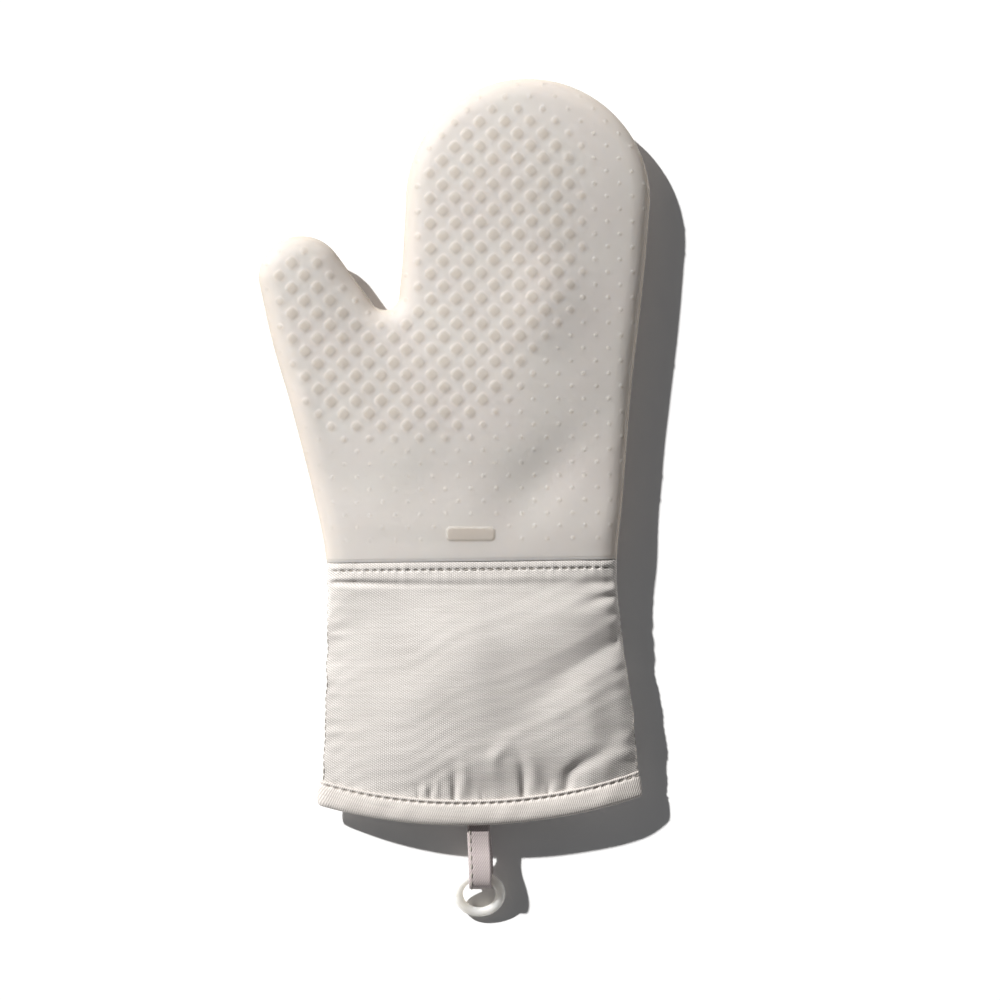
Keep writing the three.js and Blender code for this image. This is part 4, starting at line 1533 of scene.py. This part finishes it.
LIGHT_WAY = np.array([1.145, -1.08, -1.0])  # how far a shadow falls for each unit of height
PICTURE_CENTRE = (20.35, -0.35, 12.5)
PICTURE_WIDTH = 442.4
LENS, SENSOR = 85.0, 36.0
LIGHT_STRENGTH, LIGHT_DEGREES = 5.6, 1.6
FLOOR_REACH, FLOOR_DROP = 30.0, 0.0002  # metres, to each side and below the frame's zero


def make_camera():
    data = bpy.data.cameras.new("camera")
    data.lens, data.sensor_width = LENS, SENSOR
    camera = add_object("camera", data)
    above = PICTURE_WIDTH * LENS / SENSOR
    x, y, z = PICTURE_CENTRE
    camera.location = (x * MM, y * MM, (z + above) * MM)
    bpy.context.scene.camera = camera


def make_light():
    data = bpy.data.lights.new("key", "SUN")
    data.energy = LIGHT_STRENGTH
    data.angle = math.radians(LIGHT_DEGREES)
    data.color = (1.0, 0.993, 0.985)
    light = add_object("key", data)
    way = LIGHT_WAY / np.linalg.norm(LIGHT_WAY)
    light.rotation_euler = Vector(way).to_track_quat("-Z", "Y").to_euler()


def make_world():
    """A dim studio dome, paler close to the horizon."""
    world = bpy.data.worlds.new("studio")
    bpy.context.scene.world = world
    world.use_nodes = True
    tree = world.node_tree
    way = tree.nodes.new("ShaderNodeTexCoord").outputs["Generated"]
    height = ranged(tree, axes_of(tree, way)[2], 0.02, 0.4, 0, 1)
    dome = mix_colours(tree, height, (0.60, 0.60, 0.60), (0.10, 0.10, 0.103))
    wire(tree, tree.nodes["Background"], Color=dome)


def make_floor():
    """A wide sheet of nearly white paper."""
    mesh = bpy.data.meshes.new("floor")
    signs = [(-1, -1), (1, -1), (1, 1), (-1, 1)]
    corners = [(x * FLOOR_REACH, y * FLOOR_REACH, -FLOOR_DROP) for x, y in signs]
    mesh.from_pydata(corners, [], [(0, 1, 2, 3)])
    material, tree, shader = new_material("floor_paper")
    tint = ranged(tree, noise_node(tree, object_place(tree), 3.0, 2.0), 0.3, 0.7, 0, 1)
    paper = mix_colours(tree, tint, (0.965, 0.965, 0.965), (0.98, 0.98, 0.977))
    wire(tree, shader, Base_Color=paper, Roughness=0.9, Specular_IOR_Level=0.1)
    mesh.materials.append(material)
    add_object("floor", mesh)


# ---------------------------------------------------------------- assembly

bpy.context.scene.view_settings.view_transform = "Standard"
make_camera()
make_light()
make_world()
make_floor()

silicone = silicone_material()
cuff_cloth = cloth_material("cuff_twill", (0.82, 0.782, 0.745), (0.48, 0.448, 0.414), 0.92, 32, 0.86)
binding_cloth = cloth_material("binding_bias_twill", (0.755, 0.704, 0.662), (0.475, 0.438, 0.403),
                               0.86, 68, 0.9, 0.15)
lining_cloth = cloth_material("lining_cotton", (0.68, 0.655, 0.60), (0.58, 0.555, 0.50), 0.7, 45, 0.7, 0.08)
tape_cloth = cloth_material("tape_twill", (0.56, 0.492, 0.482), (0.37, 0.314, 0.31), 0.85, -58, 1.0, 0.13)
batting_fibre = fibre_material("batting_fibre", (0.78, 0.77, 0.74), (0.66, 0.65, 0.62), 900, 0.5)
# Painted shade: the thread is coloured darker than the cloth it is sewn into, standing in for the shade of
# the grooves it lies in.
thread = fibre_material("thread", (0.46, 0.425, 0.38), (0.33, 0.30, 0.26), 5000, 0.06)

make_shell(silicone)
make_cuff_panel(1, cuff_cloth)
make_cuff_panel(-1, cuff_cloth)
make_binding(binding_cloth)
make_ring_stitches("joint_row_stitches", lambda x: edge_line(x, JOINT_STITCH_Y), JOINT_STITCH_RISE,
                   STITCH_PITCH, thread, "joint_stitch_thread")
make_ring_stitches("hem_row_stitches", lambda x: hem_line(x, HEM_STITCH_RADIUS), HEM_STITCH_RISE,
                   HEM_PITCH, thread, "hem_stitch_thread")
make_side_stitches("side_seam_stitches_left", LEFT_EDGE, 0, thread, "side_seam_thread_left")
make_side_stitches("side_seam_stitches_right", RIGHT_EDGE, 1, thread, "side_seam_thread_right")
make_inner_layer("batting", 3.0, 1.5, 3.0, 1.2, 0.3, batting_fibre, SEAM_RADIUS + 5)
make_inner_layer("lining", 4.6, 3.0, 2.0, 0.5, 0.9, lining_cloth, SEAM_RADIUS + 3)
make_tape(tape_cloth)
make_tape_stitches(thread)
make_bar_tack(thread)
make_ring(ring_material())
